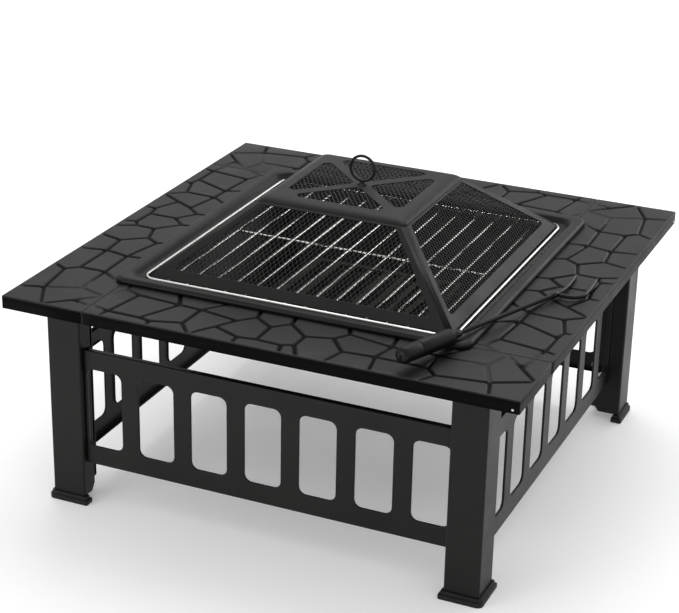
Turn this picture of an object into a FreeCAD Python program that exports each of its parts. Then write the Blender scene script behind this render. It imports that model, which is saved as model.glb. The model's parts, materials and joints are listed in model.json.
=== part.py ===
import FreeCAD, Part

import math
import os

from FreeCAD import Vector

# Square steel fire pit table. The origin is the centre of the footprint on the ground.
# Front is -Y, right is +X, up is +Z. Every length is in millimetres.
# One corner or side is modelled and then turned by quarters about the vertical axis.

# Tabletop
TABLE_HALF = 405.0
TABLE_HEIGHT = 356.0
TABLE_SHEET = 1.5
SECTION_WIDTH = 137.0
FLANGE_DEPTH = 20.0
INNER_FLANGE_DEPTH = 12.0
SEAM_GAP = 0.4
OPENING_HALF = TABLE_HALF - SECTION_WIDTH
TABLE_UNDERSIDE = TABLE_HEIGHT - TABLE_SHEET

# Legs and feet
LEG_WIDTH = 56.0
LEG_DEPTH = 55.0
LEG_INSET_X = 41.0
LEG_INSET_Y = 55.5
LEG_WALL = 1.5
LEG_ROUND = 3.0
LEG_CHAMFER_ALONG = 8.0
LEG_CHAMFER_UP = 11.0
LEG_PLATE = 2.5
FOOT_ARM = 5.5
FOOT_HEIGHT = 13.3
FOOT_LOWER_STEP = 8.0
FOOT_FLARE = 6.5
FOOT_UPPER_FLARE = 3.5
FOOT_ROUND = 3.0
FOOT_RIB_HEIGHT = 22.0
FOOT_RIB_INNER = 9.0
LEG_PLAY = 0.3

# Side panels
PANEL_BOTTOM = 68.5
PANEL_TOP = 260.0
PANEL_FACE = -339.5
PANEL_PAN_DEPTH = 10.0
PANEL_SHEET = 1.2
PANEL_END_PLAY = 0.5
WINDOW_COUNT = 7
WINDOW_PITCH = 89.0
WINDOW_WIDTH = 59.5
WINDOW_BOTTOM = 100.0
WINDOW_TOP = 229.5
WINDOW_ROUND = 12.0
WINDOW_FOLD_DEPTH = 3.4
TAB_DEPTH = 20.0
TAB_HEIGHT = 28.0
BOLT_FROM_TAB_EDGE = 10.0

# Screws and nuts
M6_RADIUS = 3.0
M6_HOLE_RADIUS = 3.3
M6_HEAD_ACROSS_FLATS = 10.0
M6_HEAD_HEIGHT = 4.0
M6_NUT_HEIGHT = 5.0
M6_BOLT_LENGTH = 12.0
BOLT_HOLE_REACH = 8.0
SEAM_STRIP_WIDTH = 44.0
SEAM_STRIP_THICKNESS = 2.0
SEAM_STRIP_EDGE_ROOM = 3.0
SEAM_STUD_OFFSET = 13.0
SEAM_STUD_FROM_EDGE = 35.0
SEAM_STUD_LENGTH = 11.0
LEG_STUD_LENGTH = 14.0
RIVET_RADIUS = 2.0
RIVET_HEIGHT = 1.2
RIVET_FROM_CORNER = 10.0
RIVET_BELOW_TOP = 15.0

# Bowl: half width and height of its upper surface, from the lip inwards to the floor
BOWL_SHEET = 1.5
BOWL_LIP_GAP = 0.3
BOWL_CORNER_ROUND = 22.0
LEDGE_HEIGHT = 354.0
BOWL_FLOOR_HEIGHT = 238.5
BOWL_PROFILE = [
    (287.0, TABLE_HEIGHT + BOWL_LIP_GAP),
    (287.0, 359.0),
    (284.5, 362.8),
    (279.5, 365.0),
    (272.5, 365.0),
    (267.8, 362.2),
    (264.0, 356.2),
    (261.5, LEDGE_HEIGHT),
    (246.0, LEDGE_HEIGHT),
    (184.0, 245.5),
    (176.0, BOWL_FLOOR_HEIGHT),
    (160.0, BOWL_FLOOR_HEIGHT),
]

# Log grate on the bowl's floor
FIT_GAP = 0.3
LOG_FRAME_HALF = 130.0
LOG_BAR = 9.0
LOG_FRAME_TOP = 275.0
LOG_BAR_COUNT = 7
LOG_FOOT_INSET = 18.0

# Cooking grid on the bowl's ledge
RIM_WIRE_RADIUS = 2.5
RIM_WIRE_HALF = 252.0
RIM_WIRE_ROUND = 20.0
ROD_RADIUS = 2.0
ROD_PITCH = 32.6
ROD_COUNT = 14
GRID_HEIGHT = LEDGE_HEIGHT + RIM_WIRE_RADIUS + FIT_GAP
ROD_BUTT_DEPTH = 1.0

# Spark-screen lid on the grid
LID_BOTTOM = GRID_HEIGHT + RIM_WIRE_RADIUS + FIT_GAP
LID_BASE_HALF = 247.7
LID_TOP_HALF = 113.8
LID_TOP = 467.7
LID_SHEET = 1.2
LID_EDGE_ROUND = 24.0
LID_EDGE_STEPS = 4
LID_CORNER_ROUND = 8.0
LID_SIDE_TOP = 458.5
LID_WINDOW_LOW = (211.6, 371.7)
LID_WINDOW_HIGH = (108.3, 457.3)
LID_WINDOW_ROUND = 4.0
MESH_SHEET = 0.8
MESH_LAP = 4.0
VENT_BAND_HALF = 9.0
VENT_OUTER = 96.0
VENT_ROUND = 9.0

# Ring handle
RING_WIRE_RADIUS = 2.25
RING_MIDDLE_RADIUS = 20.25
HANDLE_BASE_RADIUS = 8.0
HANDLE_BASE_HEIGHT = 4.5
HANDLE_FOOT_HEIGHT = 2.7
HANDLE_NECK_RADIUS = 3.5
HANDLE_CROWN = 1.5
RING_SINK = 1.0
HANDLE_SCREW_RADIUS = 2.0
HANDLE_SCREW_LENGTH = 9.0
HANDLE_SCREW_PLAY = 0.2
HANDLE_NUT_ACROSS_FLATS = 7.0
HANDLE_NUT_HEIGHT = 3.2

# Poker: it leans on the bowl's rim, and its two prongs lie on the tabletop
POKER_GRIP_END = Vector(225.0, -388.3, 378.0)
POKER_COLLAR = Vector(339.6, -45.1, 362.6)
POKER_SHAFT_RADIUS = 3.25
POKER_BORE_RADIUS = 3.4
GRIP_RADIUS = 12.4
GRIP_LENGTH = 112.0
GRIP_DOME = 7.0
GRIP_DOME_STEPS = 5
GRIP_NOSE_LENGTH = 2.0
GRIP_NOSE_DROP = 2.5
GRIP_GROOVE_AT = 38.0
GRIP_GROOVE_WIDTH = 1.6
GRIP_GROOVE_DEPTH = 0.9
FERRULE_RADIUS = 6.5
FERRULE_LENGTH = 20.0
FERRULE_TAPER = 0.8
FERRULE_NOSE_LENGTH = 3.0
FERRULE_NOSE_DROP = 2.0
END_CAP_RADIUS = 3.6
END_CAP_HEIGHT = 4.0
END_CAP_BEVEL = 1.4
COLLAR_RADIUS = 5.0
COLLAR_LENGTH = 12.0
COLLAR_TAPER = 2.0
PRONG_RADIUS = 3.0
PRONG_POINT_LENGTH = 14.0
PRONG_POINT_RADIUS = 0.8
STRAIGHT_PRONG = [
    Vector(339.6, -45.1, 362.6),
    Vector(343.1, -26.1, 361.6),
    Vector(344.1, -4.1, 360.4),
    Vector(342.1, 35.9, 359.6),
]
HOOKED_PRONG = [
    Vector(338.6, -44.6, 362.4),
    Vector(358.6, -47.6, 361.4),
    Vector(375.6, -36.1, 360.4),
    Vector(378.1, -8.1, 359.8),
    Vector(375.6, 33.9, 359.5),
]
PRONG_BEND = 12.0

SIDES = ["front", "right", "back", "left"]
LEG_CORNERS = ["front_left", "front_right", "back_right", "back_left"]
ORIGIN = Vector(0, 0, 0)
UP = Vector(0, 0, 1)
QUARTER_TURN = 90.0
# How far a cutting shape runs past the face it opens
CUT_PAST = 1.0


def save(name, shape):
    """Write one node's solids as a STEP file."""
    shape.exportStep("parts/" + name + ".step")
    print(name, len(shape.Solids), "solids", "valid" if shape.isValid() else "not valid")


def box(x0, x1, y0, y1, z0, z1):
    return Part.makeBox(x1 - x0, y1 - y0, z1 - z0, Vector(x0, y0, z0))


def rod(radius, start, end):
    """Round bar between two points."""
    run = end.sub(start)
    return Part.makeCylinder(radius, run.Length, start, run)


def quarter(shape, turns):
    """Copy of a shape, turned about the vertical axis by a number of quarter turns."""
    copy = shape.copy()
    copy.rotate(ORIGIN, UP, QUARTER_TURN * turns)
    return copy


def joined(shapes):
    """One solid from pieces that overlap or touch."""
    return shapes[0].fuse(shapes[1:]).removeSplitter()


def rounded_square(half, radius, height):
    """Closed wire of a square with round corners."""
    straight = half - radius
    diagonal = straight + radius * math.sqrt(0.5)
    edges = []
    for turns in range(4):
        turn = FreeCAD.Rotation(UP, QUARTER_TURN * turns)
        points = [
            Vector(-straight, -half, height),
            Vector(straight, -half, height),
            Vector(diagonal, -diagonal, height),
            Vector(half, -straight, height),
        ]
        start, bend, middle, end = [turn.multVec(point) for point in points]
        edges.append(Part.LineSegment(start, bend).toShape())
        edges.append(Part.Arc(bend, middle, end).toShape())
    return Part.Wire(edges)


def offset_line(points, distance):
    """Open outline moved to its left by a distance, with mitred corners."""
    directions = []
    for first, second in zip(points, points[1:]):
        length = math.hypot(second[0] - first[0], second[1] - first[1])
        directions.append(((second[0] - first[0]) / length, (second[1] - first[1]) / length))
    moved = []
    for index, point in enumerate(points):
        before = directions[max(index - 1, 0)]
        after = directions[min(index, len(directions) - 1)]
        normal = (-before[1] - after[1], before[0] + after[0])
        scale = distance * 2 / (normal[0] ** 2 + normal[1] ** 2)
        moved.append((point[0] + normal[0] * scale, point[1] + normal[1] * scale))
    return moved


def square_pan(upper_surface, thickness, corner_round):
    """Square pressed pan: a sheet whose upper surface has the given half widths and heights."""
    lower_surface = offset_line(upper_surface, thickness)
    outline = list(reversed(lower_surface)) + upper_surface
    wires = [rounded_square(half, corner_round, height) for half, height in outline]
    faces = [Part.Face(wires[0]), Part.Face(wires[-1])]
    for first, second in zip(wires, wires[1:]):
        for first_edge, second_edge in zip(first.Edges, second.Edges):
            faces.append(Part.makeRuledSurface(first_edge, second_edge))
    shell = Part.makeShell(faces)
    shell.sewShape()
    pan = Part.makeSolid(shell)
    if pan.Volume < 0:
        pan.reverse()
    return pan


def polygon_prism(points, radius, direction):
    """Prism of a polygon whose corners are rounded, along a direction."""
    edges = []
    count = len(points)
    trims = []
    for index, corner in enumerate(points):
        to_last = points[index - 1].sub(corner).normalize()
        to_next = points[(index + 1) % count].sub(corner).normalize()
        half_angle = to_last.getAngle(to_next) / 2
        setback = radius / math.tan(half_angle)
        bisector = to_last.add(to_next).normalize()
        nearest = radius / math.sin(half_angle) - radius
        trims.append((
            corner.add(to_last * setback),
            corner.add(bisector * nearest),
            corner.add(to_next * setback),
        ))
    for index, (start, middle, end) in enumerate(trims):
        edges.append(Part.Arc(start, middle, end).toShape())
        edges.append(Part.LineSegment(end, trims[(index + 1) % count][0]).toShape())
    return Part.Face(Part.Wire(edges)).extrude(direction)


def bent_wire(points, bend_radius, wire_radius):
    """Round wire along straight runs that tangent arcs join."""
    edges = []
    last = points[0]
    for before, corner, after in zip(points, points[1:], points[2:]):
        back = before.sub(corner).normalize()
        ahead = after.sub(corner).normalize()
        half_angle = back.getAngle(ahead) / 2
        setback = bend_radius / math.tan(half_angle)
        start = corner.add(back * setback)
        end = corner.add(ahead * setback)
        bisector = back.add(ahead).normalize()
        middle = corner.add(bisector * (bend_radius / math.sin(half_angle) - bend_radius))
        edges.append(Part.LineSegment(last, start).toShape())
        edges.append(Part.Arc(start, middle, end).toShape())
        last = end
    edges.append(Part.LineSegment(last, points[-1]).toShape())
    profile = Part.Wire(Part.makeCircle(wire_radius, points[0], points[1].sub(points[0])))
    return Part.Wire(edges).makePipeShell([profile], True, False)


def hexagon(across_flats, height, base, direction):
    """Hexagonal head or nut that stands on a base point."""
    corner_radius = across_flats / math.sqrt(3)
    points = []
    for step in range(7):
        angle = math.radians(60 * step)
        points.append(Vector(corner_radius * math.cos(angle), corner_radius * math.sin(angle), 0))
    prism = Part.Face(Part.makePolygon(points)).extrude(Vector(0, 0, height))
    prism.Placement = FreeCAD.Placement(base, FreeCAD.Rotation(UP, direction))
    return prism


# ---------------------------------------------------------------- legs and feet

LEG_X = -TABLE_HALF + LEG_INSET_X
LEG_Y = -TABLE_HALF + LEG_INSET_Y
LEG_CENTRE = Vector(LEG_X + LEG_WIDTH / 2, LEG_Y + LEG_DEPTH / 2, 0)


def leg_block(grow, bottom, top):
    """Block of the front left leg's outline, grown by a margin on each side."""
    return box(
        LEG_X - grow, LEG_X + LEG_WIDTH + grow,
        LEG_Y - grow, LEG_Y + LEG_DEPTH + grow, bottom, top,
    )


def round_uprights(shape, radius):
    """Fillet the vertical edges of a block."""
    uprights = []
    for edge in shape.Edges:
        if abs(edge.tangentAt(edge.FirstParameter).z) > 0.99:
            uprights.append(edge)
    return shape.makeFillet(radius, uprights)


def panel_bolt_places():
    """Bolt axes of one panel: the leg face's x, the way the head points, and the height."""
    places = []
    for face_x, inward in [(LEG_X + LEG_WIDTH, 1), (TABLE_HALF - LEG_INSET_Y - LEG_DEPTH, -1)]:
        for height in [(PANEL_BOTTOM + WINDOW_BOTTOM) / 2, (PANEL_TOP + WINDOW_TOP) / 2]:
            places.append((face_x, inward, height))
    return places


BOLT_Y = PANEL_FACE + TAB_DEPTH - BOLT_FROM_TAB_EDGE


def panel_bolt_holes(radius):
    """Cylinders through the tabs and the leg walls of all four sides."""
    holes = []
    for turns in range(4):
        for face_x, _, height in panel_bolt_places():
            start = Vector(face_x - BOLT_HOLE_REACH, BOLT_Y, height)
            end = Vector(face_x + BOLT_HOLE_REACH, BOLT_Y, height)
            holes.append(quarter(rod(radius, start, end), turns))
    return Part.makeCompound(holes)


RETURN_END = PANEL_FACE + TAB_DEPTH


def chamfer_outline():
    """Triangle cut off the bottom of a leg's return, as (distance along the return, height)."""
    slope = LEG_CHAMFER_UP / LEG_CHAMFER_ALONG
    low = FOOT_HEIGHT - CUT_PAST
    near = RETURN_END - LEG_CHAMFER_ALONG - CUT_PAST / slope
    far = RETURN_END + CUT_PAST
    return [(near, low), (far, low), (far, low + (far - near) * slope)]


def make_leg():
    """Folded sheet: two outer faces and two returns that the panels bolt to, open at its inner corner."""
    outer = round_uprights(leg_block(0, FOOT_HEIGHT, TABLE_UNDERSIDE), LEG_ROUND)
    low, high = FOOT_HEIGHT - CUT_PAST, TABLE_UNDERSIDE + CUT_PAST
    bore = round_uprights(leg_block(-LEG_WALL, low, high), LEG_ROUND - LEG_WALL)
    right, back = LEG_X + LEG_WIDTH, LEG_Y + LEG_DEPTH
    inner_corner = box(RETURN_END, right + CUT_PAST, RETURN_END, back + CUT_PAST, low, high)
    inside_right = right - LEG_WALL - CUT_PAST
    inside_back = back - LEG_WALL - CUT_PAST
    thickness = LEG_WALL + 2 * CUT_PAST
    outline = chamfer_outline() + chamfer_outline()[:1]
    right_chamfer = Part.Face(Part.makePolygon([Vector(inside_right, y, z) for y, z in outline]))
    back_chamfer = Part.Face(Part.makePolygon([Vector(x, inside_back, z) for x, z in outline]))
    return outer.cut([
        bore, inner_corner,
        right_chamfer.extrude(Vector(thickness, 0, 0)), back_chamfer.extrude(Vector(0, thickness, 0)),
    ])


def leg_angle(outside, inside, bottom, top):
    """L-shaped block along the leg's two outer faces, between two distances from them."""
    right, back = LEG_X + LEG_WIDTH + outside, LEG_Y + LEG_DEPTH + outside
    left, front = LEG_X - outside, LEG_Y - outside
    return joined([
        box(left, right, front, LEG_Y + inside, bottom, top),
        box(left, LEG_X + inside, front, back, bottom, top),
    ])


def make_foot():
    """L-shaped cap in two steps round the leg's outer faces, with a rib inside the sheet."""
    lower = leg_angle(FOOT_FLARE, FOOT_ARM + FOOT_FLARE, 0, FOOT_LOWER_STEP)
    upper = leg_angle(FOOT_UPPER_FLARE, FOOT_ARM + FOOT_UPPER_FLARE, FOOT_LOWER_STEP, FOOT_HEIGHT)
    rib_top = FOOT_HEIGHT + FOOT_RIB_HEIGHT
    rib = leg_angle(-LEG_WALL - LEG_PLAY, FOOT_RIB_INNER, FOOT_HEIGHT, rib_top)
    return joined([
        round_uprights(lower, FOOT_ROUND), round_uprights(upper, FOOT_ROUND),
        round_uprights(rib, LEG_ROUND - LEG_WALL),
    ])


def make_leg_plate():
    """Plate welded inside the top of the leg, with a hole for the tabletop's stud."""
    block = leg_block(-LEG_WALL - LEG_PLAY, TABLE_UNDERSIDE - LEG_PLATE, TABLE_UNDERSIDE)
    plate = round_uprights(block, LEG_ROUND - LEG_WALL)
    hole_base = LEG_CENTRE.add(UP * (TABLE_UNDERSIDE - LEG_PLATE - CUT_PAST))
    return plate.cut(Part.makeCylinder(M6_HOLE_RADIUS, LEG_PLATE + 2 * CUT_PAST, hole_base))


# ---------------------------------------------------------------- tabletop

def make_front_section():
    """Front section: a shallow tray that covers the front right corner and stops at the left seam."""
    left = -OPENING_HALF + SEAM_GAP
    bottom = TABLE_HEIGHT - FLANGE_DEPTH
    inner_face = -OPENING_HALF - TABLE_SHEET
    tray = box(left, TABLE_HALF, -TABLE_HALF, -OPENING_HALF, bottom, TABLE_HEIGHT)
    hollow = box(
        left - CUT_PAST, TABLE_HALF - TABLE_SHEET,
        -TABLE_HALF + TABLE_SHEET, inner_face, bottom - CUT_PAST, TABLE_UNDERSIDE,
    )
    # The inner flange is shorter, and it stops where the next section begins.
    inner_trim = box(
        left - CUT_PAST, OPENING_HALF, inner_face, -OPENING_HALF + CUT_PAST,
        bottom - CUT_PAST, TABLE_HEIGHT - INNER_FLANGE_DEPTH,
    )
    seam_trim = box(
        OPENING_HALF, TABLE_HALF - TABLE_SHEET, inner_face, -OPENING_HALF + CUT_PAST,
        bottom - CUT_PAST, TABLE_UNDERSIDE,
    )
    return tray.cut([hollow, inner_trim, seam_trim])


SEAM_STUD_PLACES = []
for seam_y in [-TABLE_HALF + SEAM_STUD_FROM_EDGE, -OPENING_HALF - SEAM_STUD_FROM_EDGE]:
    for side in [-1, 1]:
        SEAM_STUD_PLACES.append((-OPENING_HALF + side * SEAM_STUD_OFFSET, seam_y))


def make_seam_strip():
    """Strip under the seam at the left end of the front section."""
    from_flange = TABLE_SHEET + SEAM_STRIP_EDGE_ROOM
    bottom = TABLE_UNDERSIDE - SEAM_STRIP_THICKNESS
    strip = box(
        -OPENING_HALF - SEAM_STRIP_WIDTH / 2, -OPENING_HALF + SEAM_STRIP_WIDTH / 2,
        -TABLE_HALF + from_flange, -OPENING_HALF - from_flange, bottom, TABLE_UNDERSIDE,
    )
    holes = []
    for x, y in SEAM_STUD_PLACES:
        start = Vector(x, y, bottom - CUT_PAST)
        holes.append(rod(M6_HOLE_RADIUS, start, Vector(x, y, TABLE_UNDERSIDE + CUT_PAST)))
    return strip.cut(holes)


def hanging_stud(x, y, length):
    """Weld stud that hangs from the tabletop's underside."""
    return rod(M6_RADIUS, Vector(x, y, TABLE_UNDERSIDE - length), Vector(x, y, TABLE_UNDERSIDE))


def hanging_nut(x, y, plate_thickness):
    """Nut turned up against the underside of a plate, on a hanging stud."""
    bottom = TABLE_UNDERSIDE - plate_thickness - M6_NUT_HEIGHT
    nut = hexagon(M6_HEAD_ACROSS_FLATS, M6_NUT_HEIGHT, Vector(x, y, bottom), UP)
    start = Vector(x, y, bottom - CUT_PAST)
    return nut.cut(rod(M6_RADIUS, start, Vector(x, y, bottom + M6_NUT_HEIGHT + CUT_PAST)))


def make_corner_rivet():
    """Small domed rivet at the corner end of the front section's flange."""
    seat = Vector(TABLE_HALF - RIVET_FROM_CORNER, -TABLE_HALF, TABLE_HEIGHT - RIVET_BELOW_TOP)
    dome_radius = (RIVET_RADIUS ** 2 + RIVET_HEIGHT ** 2) / (2 * RIVET_HEIGHT)
    centre = seat.add(Vector(0, dome_radius - RIVET_HEIGHT, 0))
    ball = Part.makeSphere(dome_radius, centre)
    keep = rod(RIVET_RADIUS + CUT_PAST, seat.sub(Vector(0, RIVET_HEIGHT + CUT_PAST, 0)), seat)
    return ball.common(keep)


# ---------------------------------------------------------------- side panels

def window_outline(centre_x, grow):
    """Corners of one window of the front panel, grown by a margin."""
    low = WINDOW_BOTTOM - grow
    high = WINDOW_TOP + grow
    left = centre_x - WINDOW_WIDTH / 2 - grow
    right = centre_x + WINDOW_WIDTH / 2 + grow
    y = PANEL_FACE - CUT_PAST
    outline = [(left, low), (right, low), (right, high), (left, high)]
    return [Vector(x, y, z) for x, z in outline]


def make_front_panel():
    """Pressed pan with seven windows, each with a shallow fold round it, and four bolt tabs."""
    left = LEG_X + LEG_WIDTH + PANEL_END_PLAY
    right = TABLE_HALF - LEG_INSET_Y - LEG_DEPTH - PANEL_END_PLAY
    middle = (left + right) / 2
    back = PANEL_FACE + PANEL_PAN_DEPTH
    pan = box(left, right, PANEL_FACE, back, PANEL_BOTTOM, PANEL_TOP)
    pocket = box(
        left + PANEL_SHEET, right - PANEL_SHEET, PANEL_FACE + PANEL_SHEET, back + CUT_PAST,
        PANEL_BOTTOM + PANEL_SHEET, PANEL_TOP - PANEL_SHEET,
    )
    through = Vector(0, PANEL_PAN_DEPTH + 3 * CUT_PAST, 0)
    fold = Vector(0, WINDOW_FOLD_DEPTH + CUT_PAST, 0)
    collars = []
    windows = []
    for index in range(WINDOW_COUNT):
        centre_x = middle + (index - (WINDOW_COUNT - 1) / 2) * WINDOW_PITCH
        grown = window_outline(centre_x, PANEL_SHEET)
        collars.append(polygon_prism(grown, WINDOW_ROUND + PANEL_SHEET, fold))
        windows.append(polygon_prism(window_outline(centre_x, 0), WINDOW_ROUND, through))
    panel = pan.cut(pocket.cut(collars)).cut(windows)
    tabs = []
    for tab_left in [left, right - PANEL_SHEET]:
        for height in [(PANEL_BOTTOM + WINDOW_BOTTOM) / 2, (PANEL_TOP + WINDOW_TOP) / 2]:
            tabs.append(box(
                tab_left, tab_left + PANEL_SHEET, PANEL_FACE + PANEL_SHEET, PANEL_FACE + TAB_DEPTH,
                height - TAB_HEIGHT / 2, height + TAB_HEIGHT / 2,
            ))
    return joined([panel] + tabs)


def make_panel_bolt(face_x, inward, height):
    """Hex bolt whose head bears on the panel's tab and whose shank enters the leg."""
    seat_x = face_x + inward * (PANEL_END_PLAY + PANEL_SHEET)
    seat = Vector(seat_x, BOLT_Y, height)
    tip = Vector(seat_x - inward * M6_BOLT_LENGTH, BOLT_Y, height)
    head = hexagon(M6_HEAD_ACROSS_FLATS, M6_HEAD_HEIGHT, seat, Vector(inward, 0, 0))
    return joined([head, rod(M6_RADIUS, tip, seat)])


def make_panel_nut(face_x, inward, height):
    """Nut on the panel bolt, against the inside of the leg wall."""
    seat = Vector(face_x - inward * LEG_WALL, BOLT_Y, height)
    nut = hexagon(M6_HEAD_ACROSS_FLATS, M6_NUT_HEIGHT, seat, Vector(-inward, 0, 0))
    reach = Vector(inward * (M6_NUT_HEIGHT + CUT_PAST), 0, 0)
    return nut.cut(rod(M6_RADIUS, seat.sub(reach), seat.add(reach)))


# ---------------------------------------------------------------- bowl and log grate

LOG_FRAME_INNER = LOG_FRAME_HALF - LOG_BAR
LOG_FRAME_BOTTOM = LOG_FRAME_TOP - LOG_BAR


def make_log_frame():
    """Square frame of square bar."""
    outer, inner = LOG_FRAME_HALF, LOG_FRAME_INNER
    block = box(-outer, outer, -outer, outer, LOG_FRAME_BOTTOM, LOG_FRAME_TOP)
    gap_bottom = LOG_FRAME_BOTTOM - CUT_PAST
    return block.cut(box(-inner, inner, -inner, inner, gap_bottom, LOG_FRAME_TOP + CUT_PAST))


def make_log_bars():
    """Parallel bars across the frame, from front to back."""
    inner = LOG_FRAME_INNER
    pitch = 2 * inner / (LOG_BAR_COUNT + 1)
    bars = []
    for index in range(LOG_BAR_COUNT):
        x = -inner + pitch * (index + 1)
        left, right = x - LOG_BAR / 2, x + LOG_BAR / 2
        bars.append(box(left, right, -inner, inner, LOG_FRAME_BOTTOM, LOG_FRAME_TOP))
    return Part.makeCompound(bars)


def make_log_feet():
    """Four short feet that stand on the bowl's floor."""
    right = LOG_FRAME_HALF - LOG_FOOT_INSET
    bottom = BOWL_FLOOR_HEIGHT + FIT_GAP
    foot = box(
        right - LOG_BAR, right, LOG_FRAME_INNER, LOG_FRAME_HALF, bottom, LOG_FRAME_BOTTOM,
    )
    return Part.makeCompound([quarter(foot, turns) for turns in range(4)])


# ---------------------------------------------------------------- cooking grid

def make_grid_rim():
    """Rim wire: four straight runs and four quarter bends."""
    straight = RIM_WIRE_HALF - RIM_WIRE_ROUND
    pieces = []
    for turns in range(4):
        start = Vector(-straight, -RIM_WIRE_HALF, GRID_HEIGHT)
        end = Vector(straight, -RIM_WIRE_HALF, GRID_HEIGHT)
        pieces.append(quarter(rod(RIM_WIRE_RADIUS, start, end), turns))
        bend_centre = Vector(straight, -straight, GRID_HEIGHT)
        bend = Part.makeTorus(RIM_WIRE_ROUND, RIM_WIRE_RADIUS, bend_centre, UP, -180, 180, 90)
        bend.rotate(bend_centre, UP, -QUARTER_TURN)
        pieces.append(quarter(bend, turns))
    return joined(pieces)


def make_grid_rods(rim):
    """Rods from front to back, butted against the rim wire's inner side."""
    rods = []
    reach = RIM_WIRE_HALF - RIM_WIRE_RADIUS + ROD_BUTT_DEPTH
    for index in range(ROD_COUNT):
        x = (index - (ROD_COUNT - 1) / 2) * ROD_PITCH
        wire = rod(ROD_RADIUS, Vector(x, -reach, GRID_HEIGHT), Vector(x, reach, GRID_HEIGHT))
        rods.append(wire.cut(rim))
    return Part.makeCompound(rods)


def make_grid_crossbar():
    """Wire across the middle, welded under the rods."""
    reach = (ROD_COUNT - 1) / 2 * ROD_PITCH + ROD_RADIUS
    height = GRID_HEIGHT - 2 * ROD_RADIUS
    return rod(ROD_RADIUS, Vector(-reach, 0, height), Vector(reach, 0, height))


# ---------------------------------------------------------------- lid

LID_SLOPE = (LID_BASE_HALF - LID_TOP_HALF) / (LID_TOP - LID_BOTTOM)
# Level distance between the outer and inner faces of the sloping sheet
LID_INSET = LID_SHEET * math.hypot(1, LID_SLOPE)


def lid_half(height):
    """Half width of the lid's outer surface at a height."""
    return LID_BASE_HALF - (height - LID_BOTTOM) * LID_SLOPE


def frustum(bottom, top, inset):
    """Solid pyramid stump between two heights, drawn in from the lid's outer surface."""
    wires = []
    for height in [bottom, top]:
        half = lid_half(height) - inset
        corners = [(-half, -half), (half, -half), (half, half), (-half, half), (-half, -half)]
        wires.append(Part.makePolygon([Vector(x, y, height) for x, y in corners]))
    return Part.makeLoft(wires, True, True)


def front_wedge(reach):
    """Prism over the front quarter of the plan, between the two diagonals."""
    corners = [ORIGIN, Vector(-reach, -reach, 0), Vector(reach, -reach, 0), ORIGIN]
    return Part.Face(Part.makePolygon(corners)).extrude(Vector(0, 0, LID_TOP))


def lid_window():
    """Prism through the front side along Y, in the outline of its window."""
    low_half, low = LID_WINDOW_LOW
    high_half, high = LID_WINDOW_HIGH
    corners = [
        Vector(-low_half, -TABLE_HALF, low),
        Vector(low_half, -TABLE_HALF, low),
        Vector(high_half, -TABLE_HALF, high),
        Vector(-high_half, -TABLE_HALF, high),
    ]
    return polygon_prism(corners, LID_WINDOW_ROUND, Vector(0, TABLE_HALF, 0))


def make_lid_side():
    """Front frame: a trapezoid of sheet with one window, mitred to its neighbours."""
    inside = frustum(LID_BOTTOM - CUT_PAST, LID_SIDE_TOP + CUT_PAST, LID_INSET)
    shell = frustum(LID_BOTTOM, LID_SIDE_TOP, 0).cut(inside)
    return shell.common(front_wedge(TABLE_HALF)).cut(lid_window())


def make_side_mesh():
    """Flat trapezoid of mesh against the inside of the front frame, lapping its window."""
    low_half, low = LID_WINDOW_LOW
    high_half, high = LID_WINDOW_HIGH
    low -= MESH_LAP
    high += MESH_LAP / 2
    low_y = LID_INSET - lid_half(low)
    high_y = LID_INSET - lid_half(high)
    corners = [
        Vector(-low_half - MESH_LAP, low_y, low),
        Vector(low_half + MESH_LAP, low_y, low),
        Vector(high_half + MESH_LAP, high_y, high),
        Vector(-high_half - MESH_LAP, high_y, high),
        Vector(-low_half - MESH_LAP, low_y, low),
    ]
    inward = Vector(0, 1, -LID_SLOPE).normalize()
    return Part.Face(Part.makePolygon(corners)).extrude(inward * MESH_SHEET)


def lid_cap_profile():
    """Upper surface of the top plate, from its lower edge round the bend to its flat."""
    slope_angle = math.atan(1 / LID_SLOPE)
    setback = LID_EDGE_ROUND * math.tan(slope_angle / 2)
    centre_half = LID_TOP_HALF - setback
    centre_height = LID_TOP - LID_EDGE_ROUND
    points = []
    for step in range(LID_EDGE_STEPS + 1):
        angle = slope_angle * (1 - step / LID_EDGE_STEPS)
        points.append((
            centre_half + LID_EDGE_ROUND * math.sin(angle),
            centre_height + LID_EDGE_ROUND * math.cos(angle),
        ))
    start_half, start_height = points[0]
    # The sheet's edge is square to its slope, so its inner corner is the lower one.
    edge_height = LID_SIDE_TOP + FIT_GAP + LID_SHEET * LID_SLOPE / math.hypot(1, LID_SLOPE)
    edge_half = start_half + (start_height - edge_height) * LID_SLOPE
    return [(edge_half, edge_height)] + points


def vent():
    """Prism of the front vent: a rounded triangle between the diagonal bands."""
    band = VENT_BAND_HALF * math.sqrt(2)
    low = LID_TOP - LID_SHEET - CUT_PAST
    corners = [
        Vector(0, -band, low),
        Vector(band - VENT_OUTER, -VENT_OUTER, low),
        Vector(VENT_OUTER - band, -VENT_OUTER, low),
    ]
    return polygon_prism(corners, VENT_ROUND, UP * (LID_SHEET + 2 * CUT_PAST))


def make_lid_top():
    """Cap plate with bent-down edges, four vents and a hole for the handle's screw."""
    cap = square_pan(lid_cap_profile(), LID_SHEET, LID_CORNER_ROUND)
    hole_radius = HANDLE_SCREW_RADIUS + HANDLE_SCREW_PLAY
    hole = rod(hole_radius, UP * (LID_TOP - LID_SHEET - CUT_PAST), UP * (LID_TOP + CUT_PAST))
    return cap.cut([quarter(vent(), turns) for turns in range(4)] + [hole])


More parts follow.
